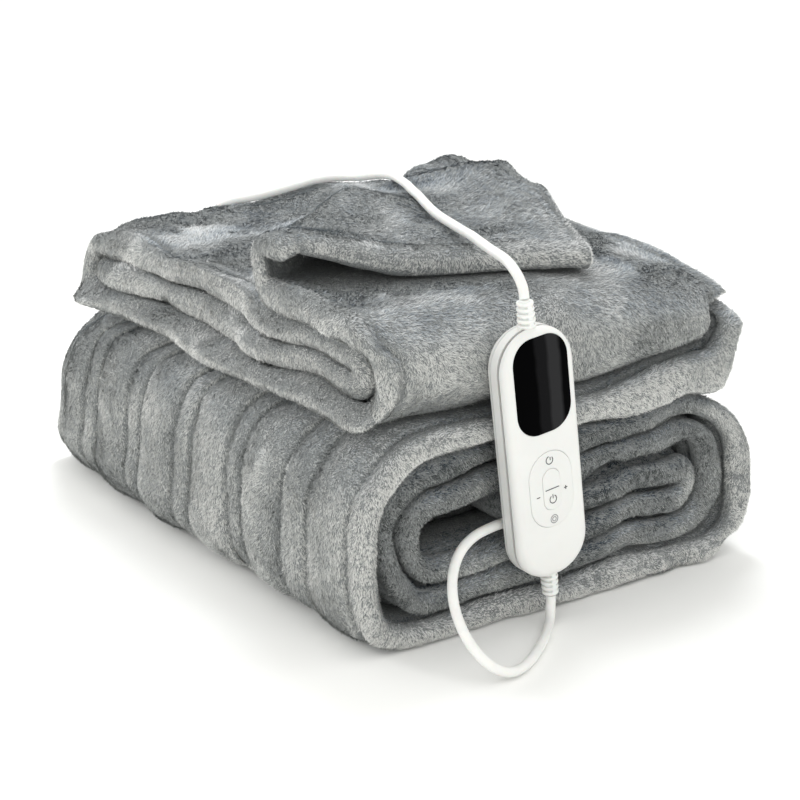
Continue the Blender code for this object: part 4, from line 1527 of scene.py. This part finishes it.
def settle(piece: bpy.types.Object, matrix: Matrix, angle: float = 35.0) -> bpy.types.Object:
    """Moves a mesh to its place, leaving its object at the origin, and smooths it by angle.

    Args:
        piece: The mesh object.
        matrix: Its place.
        angle: The widest angle, in degrees, that is smoothed over.

    Returns:
        The same piece.
    """
    piece.data.transform(piece.matrix_world)
    piece.matrix_world = Matrix.Identity(4)
    piece.data.transform(matrix)
    clear_selection()
    piece.select_set(True)
    bpy.context.view_layer.objects.active = piece
    bpy.ops.object.shade_smooth_by_angle(angle=math.radians(angle))
    return piece


@dataclass
class Controller:
    """The hand controller: two shells, a window, a keypad with its key, and its symbols."""

    frame: ControllerFrame = field(default_factory=ControllerFrame)
    size: tuple[float, float, float] = (0.0505, 0.0195, 0.1545)
    corner: float = 0.0234
    edge: float = 0.0056
    split_y: float = 0.001
    seam: float = 0.00002
    gap: float = 0.0002
    window_size: tuple[float, float, float] = (0.0382, 0.0016, 0.0582)
    window_corner: float = 0.0145
    window_z: float = 0.0440
    keypad_size: tuple[float, float, float] = (0.0308, 0.0020, 0.0472)
    keypad_z: float = -0.0206
    key_size: tuple[float, float, float] = (0.0124, 0.0016, 0.0256)
    shell: ShellFinish = field(default_factory=ShellFinish)

    @property
    def front_y(self) -> float:
        """The shell's front face."""
        return -self.size[1] / 2

    def build(self) -> list[bpy.types.Object]:
        """Models and dresses the controller.

        Returns:
            Its pieces.
        """
        window = Plate(
            "window_pane",
            self.window_size,
            (0, self.front_y + 0.0004, self.window_z),
            self.window_corner,
            0.0004,
            3,
        )
        keypad = Plate(
            "keypad_membrane",
            self.keypad_size,
            (0, self.front_y + 0.0005, self.keypad_z),
            self.keypad_size[0] / 2 - 0.0001,
            0.0005,
            3,
        )
        key_front = self.front_y - 0.0005
        key = Plate(
            "centre_key",
            self.key_size,
            (0, key_front + 0.0003, self.keypad_z),
            self.key_size[0] / 2 - 0.0001,
            0.0004,
            3,
        )
        front = Plate("front_shell", self.size, (0, 0, 0), self.corner, self.edge, 10).build()
        back = Plate("back_shell", self.size, (0, 0, 0), self.corner, self.edge, 10).build()
        bisected(front, self.split_y - self.seam / 2, True)
        bisected(back, self.split_y + self.seam / 2, False)
        cut(front, window.grown("window_pocket", self.gap, 0.004))
        cut(front, keypad.grown("keypad_pocket", self.gap, 0.004))
        pad = keypad.build()
        cut(pad, key.grown("key_pocket", self.gap, 0.004))
        core = Plate(
            "parting_core",
            (self.size[0] - 0.00012, 0.006, self.size[2] - 0.00012),
            (0, self.split_y, 0),
            self.corner - 0.00006,
            0.0,
        ).build()
        white = self.shell.material("controller_white")
        soft = ShellFinish(colour=(0.780, 0.782, 0.762), roughness=0.42).material("keypad_white")
        matrix = self.frame.matrix()
        across = (matrix.to_3x3() @ Vector((1, 0, 0))).normalized()
        glossy = WindowFinish().material(across, matrix @ Vector((0, self.front_y, self.window_z)))
        pieces = [
            (front, white, "controller_shell", "controller_front_shell"),
            (back, white, "controller_shell", "controller_back_shell"),
            (core, white, "controller_shell", None),
            (window.build(), glossy, "window", "controller_window"),
            (pad, soft, "keypad", "controller_keypad"),
            (key.build(), soft, "keypad", "controller_centre_key"),
        ]
        made = []
        for piece, finish, slot, node in pieces:
            dress(settle(piece, matrix), finish)
            if node:
                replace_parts(piece, node)
            made.append(piece)
        return made + Symbols(self).build()


@dataclass
class Symbols:
    """The keypad's plain signs, drawn as thin raised ink."""

    controller: Controller
    thick: float = 0.00012
    line: float = 0.00055

    def arc(
        self, shape: bmesh.types.BMesh, x: float, z: float, y: float, radius: float, start: float, end: float
    ) -> None:
        """Adds part of a ring.

        Args:
            shape: The mesh it is added to.
            x: Its middle, across.
            z: Its middle, up.
            y: The surface it stands on.
            radius: Its radius.
            start: Its first angle, in degrees.
            end: Its last angle, in degrees.
        """
        steps = max(6, round(abs(end - start) / 12))
        rows = []
        for step in range(steps + 1):
            angle = math.radians(start + (end - start) * step / steps)
            for reach in (radius - self.line / 2, radius + self.line / 2):
                for depth in (y, y - self.thick):
                    point = (x + reach * math.cos(angle), depth, z + reach * math.sin(angle))
                    rows.append(shape.verts.new(point))
        for step in range(steps):
            a, b, c, d, e, f, g, h = rows[4 * step : 4 * step + 8]
            for face in ((a, b, f, e), (b, d, h, f), (d, c, g, h), (c, a, e, g)):
                shape.faces.new(face)
        first, last = rows[:4], rows[-4:]
        shape.faces.new((first[0], first[2], first[3], first[1]))
        shape.faces.new((last[1], last[3], last[2], last[0]))

    def bar(
        self, shape: bmesh.types.BMesh, x: float, z: float, y: float, width: float, height: float
    ) -> None:
        """Adds a straight stroke.

        Args:
            shape: The mesh it is added to.
            x: Its middle, across.
            z: Its middle, up.
            y: The surface it stands on.
            width: Its width.
            height: Its height.
        """
        size = Matrix.Diagonal((width, self.thick, height, 1))
        matrix = Matrix.Translation((x, y - self.thick / 2, z)) @ size
        bmesh.ops.create_cube(shape, size=1, matrix=matrix)

    def finished(self, name: str, shape: bmesh.types.BMesh, ink: bpy.types.Material) -> bpy.types.Object:
        """Turns the strokes into a dressed piece.

        Args:
            name: The piece's name.
            shape: The strokes.
            ink: Their material.

        Returns:
            The piece.
        """
        bmesh.ops.recalc_face_normals(shape, faces=shape.faces)
        mesh = bpy.data.meshes.new(name)
        shape.to_mesh(mesh)
        shape.free()
        piece = linked(name, mesh)
        return dress(settle(piece, self.controller.frame.matrix()), ink)

    def build(self) -> list[bpy.types.Object]:
        """Draws the signs.

        Returns:
            The dark signs and the faint one.
        """
        hand = self.controller
        pad_y = hand.front_y - 0.0005
        key_y = hand.front_y - 0.0010
        z = hand.keypad_z
        dark = bmesh.new()
        self.arc(dark, 0.0, z + 0.0183, pad_y, 0.0024, 100, 400)
        self.bar(dark, 0.0006, z + 0.0192, pad_y, self.line, 0.0020)
        self.bar(dark, 0.0, z + 0.0005, key_y, 0.0100, self.line)
        self.arc(dark, 0.0, z - 0.0062, key_y, 0.0024, 120, 420)
        self.bar(dark, 0.0, z - 0.0044, key_y, self.line, 0.0026)
        self.bar(dark, -0.0100, z - 0.0022, pad_y, 0.0024, self.line)
        self.bar(dark, 0.0100, z - 0.0022, pad_y, 0.0024, self.line)
        self.bar(dark, 0.0100, z - 0.0022, pad_y, self.line, 0.0024)
        faint = bmesh.new()
        self.arc(faint, 0.0, z - 0.0190, pad_y, 0.0025, 0, 360)
        self.arc(faint, 0.0, z - 0.0190, pad_y, 0.0013, 0, 360)
        ink = InkFinish()
        return [
            self.finished("keypad_signs", dark, ink.material("sign_ink")),
            self.finished("heat_sign", faint, ink.material("faint_ink", 0.22)),
        ]


# ------------------------------------------------------------------------ cords


MAINS_ROUTE = (
    (-0.0547, -0.21555, 0.2025),
    (-0.0549, -0.21555, 0.2041),
    (-0.0554, -0.2149, 0.2082),
    (-0.0560, -0.2123, 0.2130),
    (-0.0558, -0.2075, 0.2168),
    (-0.0543, -0.2005, 0.2192),
    (-0.0516, -0.1905, 0.2204),
    (-0.0478, -0.1750, 0.2210),
    (-0.0420, -0.1560, 0.2215),
    (-0.0352, -0.1390, 0.2209),
    (-0.0286, -0.1220, 0.2196),
    (-0.0220, -0.1000, 0.2194),
    (-0.0176, -0.0820, 0.2200),
    (-0.0148, -0.0690, 0.2215),
    (-0.0110, -0.0560, 0.2232),
    (-0.0060, -0.0425, 0.2244),
    (0.0020, -0.0220, 0.2248),
    (0.0103, -0.0035, 0.2244),
    (0.0180, 0.0155, 0.2235),
    (0.0240, 0.0320, 0.2226),
    (0.0305, 0.0510, 0.2200),
    (0.0395, 0.0760, 0.2150),
    (0.0480, 0.1000, 0.2096),
    (0.0555, 0.1200, 0.2049),
    (0.0598, 0.1340, 0.2019),
    (0.0596, 0.1450, 0.2002),
    (0.0540, 0.1532, 0.1991),
    (0.0450, 0.1570, 0.1986),
    (0.0330, 0.1576, 0.1978),
    (0.0180, 0.1562, 0.1960),
    (-0.0100, 0.1565, 0.1922),
    (-0.0300, 0.1665, 0.1880),
    (-0.0370, 0.1780, 0.1815),
    (-0.0400, 0.1885, 0.1690),
    (-0.0410, 0.1970, 0.1530),
    (-0.0410, 0.2050, 0.1340),
    (-0.0410, 0.2124, 0.1140),
    (-0.0400, 0.2180, 0.0940),
    (-0.0390, 0.2214, 0.0710),
    (-0.0370, 0.2240, 0.0480),
    (-0.0320, 0.2280, 0.0270),
    (-0.0210, 0.2345, 0.0115),
    (-0.0050, 0.2420, 0.0046),
    (0.0140, 0.2485, 0.0031),
    (0.0340, 0.2532, 0.0031),
    (0.0520, 0.2547, 0.0031),
)
TAIL_ROUTE = (
    (0.0930, 0.3010, 0.0155),
    (0.0890, 0.3200, 0.0160),
    (0.0740, 0.3330, 0.0175),
    (0.0560, 0.3330, 0.0195),
    (0.0420, 0.3230, 0.0209),
    (0.0365, 0.3110, 0.0209),
)
BLANKET_ROUTE = (
    (-0.0299, -0.21555, 0.0164),
    (-0.0297, -0.21555, 0.0149),
    (-0.0307, -0.2167, 0.0090),
    (-0.0336, -0.2200, 0.0047),
    (-0.0376, -0.2243, 0.0031),
    (-0.0444, -0.2308, 0.0031),
    (-0.0524, -0.2384, 0.0031),
    (-0.0635, -0.2472, 0.0031),
    (-0.0760, -0.2560, 0.0031),
    (-0.0885, -0.2625, 0.0035),
    (-0.0985, -0.2645, 0.0052),
    (-0.1060, -0.2615, 0.0088),
    (-0.1108, -0.2555, 0.0140),
    (-0.1133, -0.2480, 0.0206),
    (-0.1138, -0.2395, 0.0286),
    (-0.1120, -0.2310, 0.0374),
    (-0.1075, -0.2230, 0.0464),
    (-0.1008, -0.2166, 0.0540),
    (-0.0920, -0.2118, 0.0600),
    (-0.0820, -0.2086, 0.0634),
    (-0.0730, -0.2062, 0.0642),
    (-0.0655, -0.2038, 0.0640),
    (-0.0590, -0.2019, 0.0635),
    (-0.0512, -0.2004, 0.0630),
)


def smooth_route(points: Sequence[Sequence[float]], every: float) -> list[Vector]:
    """Even points along one smooth curve through a route.

    Args:
        points: The route's own points.
        every: The spacing wanted.

    Returns:
        The points, the first and last of them the route's own.
    """
    own = [Vector(point) for point in points]
    ends = [own[0] * 2 - own[1], *own, own[-1] * 2 - own[-2]]
    fine = []
    for p0, p1, p2, p3 in zip(ends, ends[1:], ends[2:], ends[3:]):
        for step in range(24):
            t = step / 24
            bent = (2 * p0 - 5 * p1 + 4 * p2 - p3) * t * t
            across = (p2 - p0) * t + bent + (3 * p1 - p0 - 3 * p2 + p3) * t**3
            fine.append(p1 + across * 0.5)
    fine.append(own[-1])
    table = np.array(fine)
    lengths = np.concatenate([[0.0], np.cumsum(np.linalg.norm(np.diff(table, axis=0), axis=1))])
    wanted = np.linspace(0.0, lengths[-1], max(2, round(lengths[-1] / every)) + 1)
    even = np.stack([np.interp(wanted, lengths, table[:, axis]) for axis in range(3)], axis=1)
    return [Vector(point) for point in even]


def route_length(points: Sequence[Vector]) -> float:
    """The length along a list of points."""
    return sum((b - a).length for a, b in zip(points, points[1:]))


@dataclass
class Coil:
    """The wound length behind the blanket: turns side by side in two layers."""

    place: tuple[float, float] = (0.052, 0.300)
    radii: tuple[float, ...] = (0.039, 0.033, 0.027)
    arrival_radius: float = 0.0453
    first_z: float = 0.0031
    layer_rise: float = 0.0060
    turn_points: int = 24
    crossing: float = 0.17
    inward_dip: float = 0.0018

    def points(self) -> list[tuple[float, float, float]]:
        """Points from the arrival of the lead to the end of the last turn."""
        radii = [self.arrival_radius, *self.radii, *reversed(self.radii)]
        layers = [0, 0, 0, 0, 1, 1, 1]
        points = []
        for turn in range(len(radii) - 1):
            for step in range(self.turn_points):
                share = step / self.turn_points
                eased = float(smoothed(share, 0.0, self.crossing))
                radius = radii[turn] + (radii[turn + 1] - radii[turn]) * eased
                climb = layers[turn] + (layers[turn + 1] - layers[turn]) * eased
                if layers[turn] != layers[turn + 1]:
                    radius -= self.inward_dip * math.sin(math.pi * eased)
                angle = math.radians(-90) + math.tau * share
                points.append(self.at(radius, angle, self.first_z + climb * self.layer_rise))
        return points[1:]

    def at(self, radius: float, angle: float, z: float) -> tuple[float, float, float]:
        """One point of the coil."""
        return (self.place[0] + radius * math.cos(angle), self.place[1] + radius * math.sin(angle), z)

    def leaving(self) -> list[tuple[float, float, float]]:
        """The last stretch, which climbs outside the turns to where the tail begins."""
        rows = (
            (-90, 0.0392, 0.0096),
            (-72, 0.0408, 0.0108),
            (-54, 0.0420, 0.0124),
            (-36, 0.0420, 0.0140),
            (-18, 0.0414, 0.0151),
        )
        return [self.at(radius, math.radians(angle), z) for angle, radius, z in rows]


@dataclass
class Cord:
    """A free round cord, modelled as one curve."""

    name: str
    route: list[Vector]
    diameter: float = 0.006

    def build(self, finish: bpy.types.Material) -> bpy.types.Object:
        """Makes the cord.

        Args:
            finish: Its sheath.

        Returns:
            The curve object, dressed.
        """
        curve = bpy.data.curves.new(self.name, "CURVE")
        curve.dimensions = "3D"
        curve.bevel_depth = self.diameter / 2
        curve.bevel_resolution = 4
        curve.use_fill_caps = True
        line = curve.splines.new("POLY")
        line.points.add(len(self.route) - 1)
        for point, place in zip(line.points, self.route):
            point.co = (*place, 1)
        line.use_smooth = True
        return dress(linked(self.name, curve), finish)


@dataclass
class StrainRelief:
    """A tapered relief of ribs joined by alternating bridges."""

    name: str
    node: str
    end: int
    length: float = 0.0200
    hidden: float = 0.0040
    base_radius: float = 0.0057
    end_radius: float = 0.0049
    core_radius: float = 0.0034
    ribs: int = 6
    rib_share: float = 0.60
    half_length: float = 0.07725

    def build(self, frame: ControllerFrame, finish: bpy.types.Material) -> bpy.types.Object:
        """Models the relief.

        Args:
            frame: The controller's frame.
            finish: Its material.

        Returns:
            The piece, in place of its CAD node.
        """
        pitch = self.length / self.ribs
        parts = []
        for rib in range(self.ribs):
            low = rib * pitch
            radius = self.base_radius + (self.end_radius - self.base_radius) * (rib + 0.5) / self.ribs
            parts.append(self.disc(radius, low + pitch * self.rib_share / 2, pitch * self.rib_share))
            if rib < self.ribs - 1:
                parts += self.bridges(radius, low + pitch * self.rib_share, pitch * (1 - self.rib_share))
        parts.append(self.disc(self.core_radius, self.length / 2, self.length - 0.0004))
        clear_selection()
        for part in parts:
            part.select_set(True)
        bpy.context.view_layer.objects.active = parts[0]
        bpy.ops.object.join()
        piece = bpy.context.object
        piece.name = self.name
        start = self.half_length - self.hidden
        flip = Matrix.Identity(4) if self.end > 0 else Matrix.Rotation(math.pi, 4, "X")
        matrix = frame.matrix() @ flip @ Matrix.Translation((0, 0, start))
        dress(settle(piece, matrix), finish)
        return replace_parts(piece, self.node)

    @staticmethod
    def disc(radius: float, z: float, height: float) -> bpy.types.Object:
        """A short cylinder with rounded rims.

        Args:
            radius: Its radius.
            z: The height of its middle.
            height: Its height.

        Returns:
            The mesh object.
        """
        clear_selection()
        bpy.ops.mesh.primitive_cylinder_add(vertices=40, radius=radius, depth=height, location=(0, 0, z))
        piece = bpy.context.object
        edit_edges(piece, lambda a, b: abs(a.z - b.z) < 1e-7 and a.xy.length > radius * 0.9)
        bpy.ops.mesh.bevel(offset=min(0.0007, height * 0.3), segments=3, affect="EDGES")
        bpy.ops.object.mode_set(mode="OBJECT")
        bpy.ops.object.transform_apply(location=True, rotation=False, scale=False)
        return piece

    @staticmethod
    def bridges(radius: float, z: float, height: float) -> list[bpy.types.Object]:
        """Two small blocks, in front and behind, that join a rib to the next.

        Args:
            radius: The rib's radius.
            z: Where the blocks begin.
            height: How far they reach.

        Returns:
            The mesh objects.
        """
        made = []
        for side in (-1, 1):
            clear_selection()
            place = (0, side * (radius - 0.0013), z + height / 2)
            bpy.ops.mesh.primitive_cube_add(size=1, location=place)
            piece = bpy.context.object
            piece.scale = (0.0030, 0.0018, height + 0.0006)
            bpy.ops.object.transform_apply(location=True, rotation=False, scale=True)
            edit_edges(piece, lambda a, b: abs((a - b).normalized().z) > 0.9)
            bpy.ops.mesh.bevel(offset=0.0004, segments=2, affect="EDGES")
            bpy.ops.object.mode_set(mode="OBJECT")
            made.append(piece)
        return made


@dataclass
class Plug:
    """The mains plug lying on the coil: a moulded body with a grip, and two blades."""

    size: tuple[float, float, float] = (0.040, 0.025, 0.017)
    neck: tuple[float, float] = (0.42, 0.50)
    edge: float = 0.0030
    grip_depth: float = 0.0009
    blade_size: tuple[float, float, float] = (0.017, 0.0015, 0.0063)
    blade_apart: float = 0.0127
    gap: float = 0.0003

    def matrix(self) -> Matrix:
        """From the plug's frame, which points along +X, to the model's."""
        end, before = Vector(TAIL_ROUTE[-1]), Vector(TAIL_ROUTE[-2])
        heading = (end - before).normalized()
        turn = math.atan2(heading.y, heading.x)
        return Matrix.Translation(end + heading * self.gap) @ Matrix.Rotation(turn, 4, "Z")

    def build(self, finish: bpy.types.Material) -> list[bpy.types.Object]:
        """Models the plug.

        Args:
            finish: The body's material.

        Returns:
            The body and the blades.
        """
        clear_selection()
        bpy.ops.mesh.primitive_cube_add(size=1, location=(self.size[0] / 2, 0, 0))
        body = bpy.context.object
        body.name = body.data.name = "plug_body"
        body.scale = self.size
        bpy.ops.object.transform_apply(location=True, rotation=False, scale=True)
        for vertex in body.data.vertices:
            if vertex.co.x < self.size[0] / 2:
                vertex.co.y *= self.neck[0]
                vertex.co.z *= self.neck[1]
        edit_edges(body, lambda a, b: True)
        bpy.ops.mesh.bevel(offset=self.edge, segments=6, affect="EDGES")
        bpy.ops.mesh.select_all(action="SELECT")
        bpy.ops.mesh.subdivide(number_cuts=3)
        bpy.ops.object.mode_set(mode="OBJECT")
        for vertex in body.data.vertices:
            along = vertex.co.x
            groove = sum(bell(np.array(along - place), 0.0009) for place in (0.011, 0.0145, 0.018, 0.0215))
            shrink = 1 - self.grip_depth * float(groove) / max(0.004, Vector(vertex.co.yz).length)
            vertex.co.y *= shrink
            vertex.co.z *= shrink
        matrix = self.matrix()
        dress(settle(body, matrix, 40), finish)
        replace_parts(body, "mains_plug")
        brass = BrassFinish().material()
        made = [body]
        for name, side in (("plug_blade_left", 1), ("plug_blade_right", -1)):
            made.append(self.blade(name, side, matrix, brass))
        return made

    def blade(self, node: str, side: int, matrix: Matrix, brass: bpy.types.Material) -> bpy.types.Object:
        """One flat blade with a chamfered tip and its round hole.

        Args:
            node: The CAD node it replaces.
            side: The side of the plug it is on, 1 or -1.
            matrix: From the plug's frame to the model's.
            brass: Its material.

        Returns:
            The piece.
        """
        clear_selection()
        x = self.size[0] + self.gap + self.blade_size[0] / 2
        bpy.ops.mesh.primitive_cube_add(size=1, location=(x, side * self.blade_apart / 2, 0))
        piece = bpy.context.object
        piece.name = piece.data.name = node.replace("plug_blade", "blade")
        piece.scale = self.blade_size
        bpy.ops.object.transform_apply(location=True, rotation=False, scale=True)
        edit_edges(piece, lambda a, b: min(a.x, b.x) > x and abs(a.z - b.z) < 1e-7)
        bpy.ops.mesh.bevel(offset=self.blade_size[1] / 3, segments=3, affect="EDGES")
        bpy.ops.object.mode_set(mode="OBJECT")
        clear_selection()
        bpy.ops.mesh.primitive_cylinder_add(
            vertices=24,
            radius=0.0016,
            depth=0.006,
            location=(x + 0.0045, side * self.blade_apart / 2, 0),
            rotation=(math.pi / 2, 0, 0),
        )
        cut(piece, bpy.context.object)
        dress(settle(piece, matrix), brass)
        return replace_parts(piece, node)


@dataclass
class Leads:
    """Both cords of the controller, their reliefs, the coil and the plug."""

    every: float = 0.0030
    mains_exit: tuple[float, float, float] = MAINS_ROUTE[0]
    blanket_exit: tuple[float, float, float] = BLANKET_ROUTE[0]

    def build(self, frame: ControllerFrame) -> None:
        """Args:
            frame: The controller's frame.
        """
        sheath = SheathFinish().material("cord_sheath", 0.38)
        moulded = SheathFinish().material("moulded_relief", 0.42)
        gloss = SheathFinish(colour=(0.872, 0.874, 0.855)).material("plug_white", 0.24)
        coil = Coil()
        whole = [*MAINS_ROUTE, *coil.points(), *coil.leaving(), *TAIL_ROUTE]
        mains_route = smooth_route(whole, self.every)
        blanket_route = smooth_route(BLANKET_ROUTE, self.every)
        mains = Cord("mains_lead", mains_route).build(sheath)
        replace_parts(mains, "mains_cord", "mains_cord_coil", "mains_cord_tail")
        blanket_lead = Cord("blanket_lead", blanket_route).build(sheath)
        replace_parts(blanket_lead, "blanket_cord")
        top = StrainRelief("relief_top", "strain_relief_top", +1).build(frame, moulded)
        bottom = StrainRelief("relief_bottom", "strain_relief_bottom", -1).build(frame, moulded)
        plug = Plug().build(gloss)
        for name, route in (("mains lead", mains_route), ("blanket lead", blanket_route)):
            log.info("%s %.3f m", name, route_length(route))


# ----------------------------------------------------------------------- studio


@dataclass
class SoftBox:
    """One area light: its name, place, size, power and colour."""

    name: str
    place: tuple[float, float, float]
    aim: tuple[float, float, float]
    size: float
    power: float
    colour: tuple[float, float, float] = (1.0, 1.0, 1.0)

    def build(self) -> None:
        """Hangs the light."""
        data = bpy.data.lights.new(self.name, "AREA")
        data.shape = "DISK"
        data.size = self.size
        data.energy = self.power
        data.color = self.colour
        lamp = linked(self.name, data)
        lamp.location = self.place
        lamp.rotation_euler = (Vector(self.aim) - Vector(self.place)).to_track_quat("-Z", "Y").to_euler()


@dataclass
class Studio:
    """The camera, the pale floor and the soft light."""

    azimuth: float = math.radians(-34.0)
    elevation: float = math.radians(18.0)
    camera_place: tuple[float, float, float] = (-0.65345557649, -0.97977781459, 0.4574753891)
    lens: float = 81.0
    sensor: float = 36.0
    floor_size: float = 14.0

    def camera(self) -> None:
        """Sets the camera."""
        data = bpy.data.cameras.new("camera")
        data.lens = self.lens
        data.sensor_width = self.sensor
        data.clip_end = 60
        back = Vector(
            (
                math.sin(self.azimuth) * math.cos(self.elevation),
                -math.cos(self.azimuth) * math.cos(self.elevation),
                math.sin(self.elevation),
            )
        )
        camera = linked("camera", data)
        camera.location = self.camera_place
        camera.rotation_euler = back.to_track_quat("Z", "Y").to_euler()
        bpy.context.scene.camera = camera

    def build(self) -> None:
        """Lays the floor and lights the set."""
        clear_selection()
        bpy.ops.mesh.primitive_plane_add(size=self.floor_size, location=(0, 0, -0.0002))
        floor = bpy.context.object
        floor.name = "studio_floor"
        tree = Tree("studio_floor", Specular_IOR_Level=0.2)
        paper = tree.noise(9.0, 3.0)
        tree.set(Base_Color=tree.ramp(paper, (0.3, (0.975, 0.975, 0.962)), (0.7, (0.990, 0.990, 0.978))))
        tree.set(Roughness=0.7 + 0.1 * paper)
        floor.data.materials.append(tree.material)
        world = bpy.data.worlds.new("studio")
        world.use_nodes = True
        world.node_tree.nodes["Background"].inputs["Color"].default_value = (1.0, 1.0, 0.980, 1.0)
        world.node_tree.nodes["Background"].inputs["Strength"].default_value = 1.06
        bpy.context.scene.world = world
        target = (0.0, 0.0, 0.10)
        for box in (
            SoftBox("key", (0.45, 0.60, 2.0), target, 0.6, 13.5, (0.95, 0.98, 1.0)),
            SoftBox("side", (-1.2, 1.5, 0.8), target, 0.5, 8.5),
            SoftBox("fill", (-1.2, -1.2, 0.9), target, 1.2, 2.4, (1.0, 1.0, 0.97)),
        ):
            box.build()
        bpy.context.scene.view_settings.view_transform = "Standard"
        bpy.context.scene.view_settings.look = "None"


def main() -> None:
    """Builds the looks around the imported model."""
    logging.basicConfig(level=logging.INFO, format="%(message)s")
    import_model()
    studio = Studio()
    studio.camera()
    controller = Controller()
    Leads().build(controller.frame)
    controller.build()
    cloth = Blanket().build()
    Pile().build(cloth)
    studio.build()


if __name__ == "__main__":
    main()
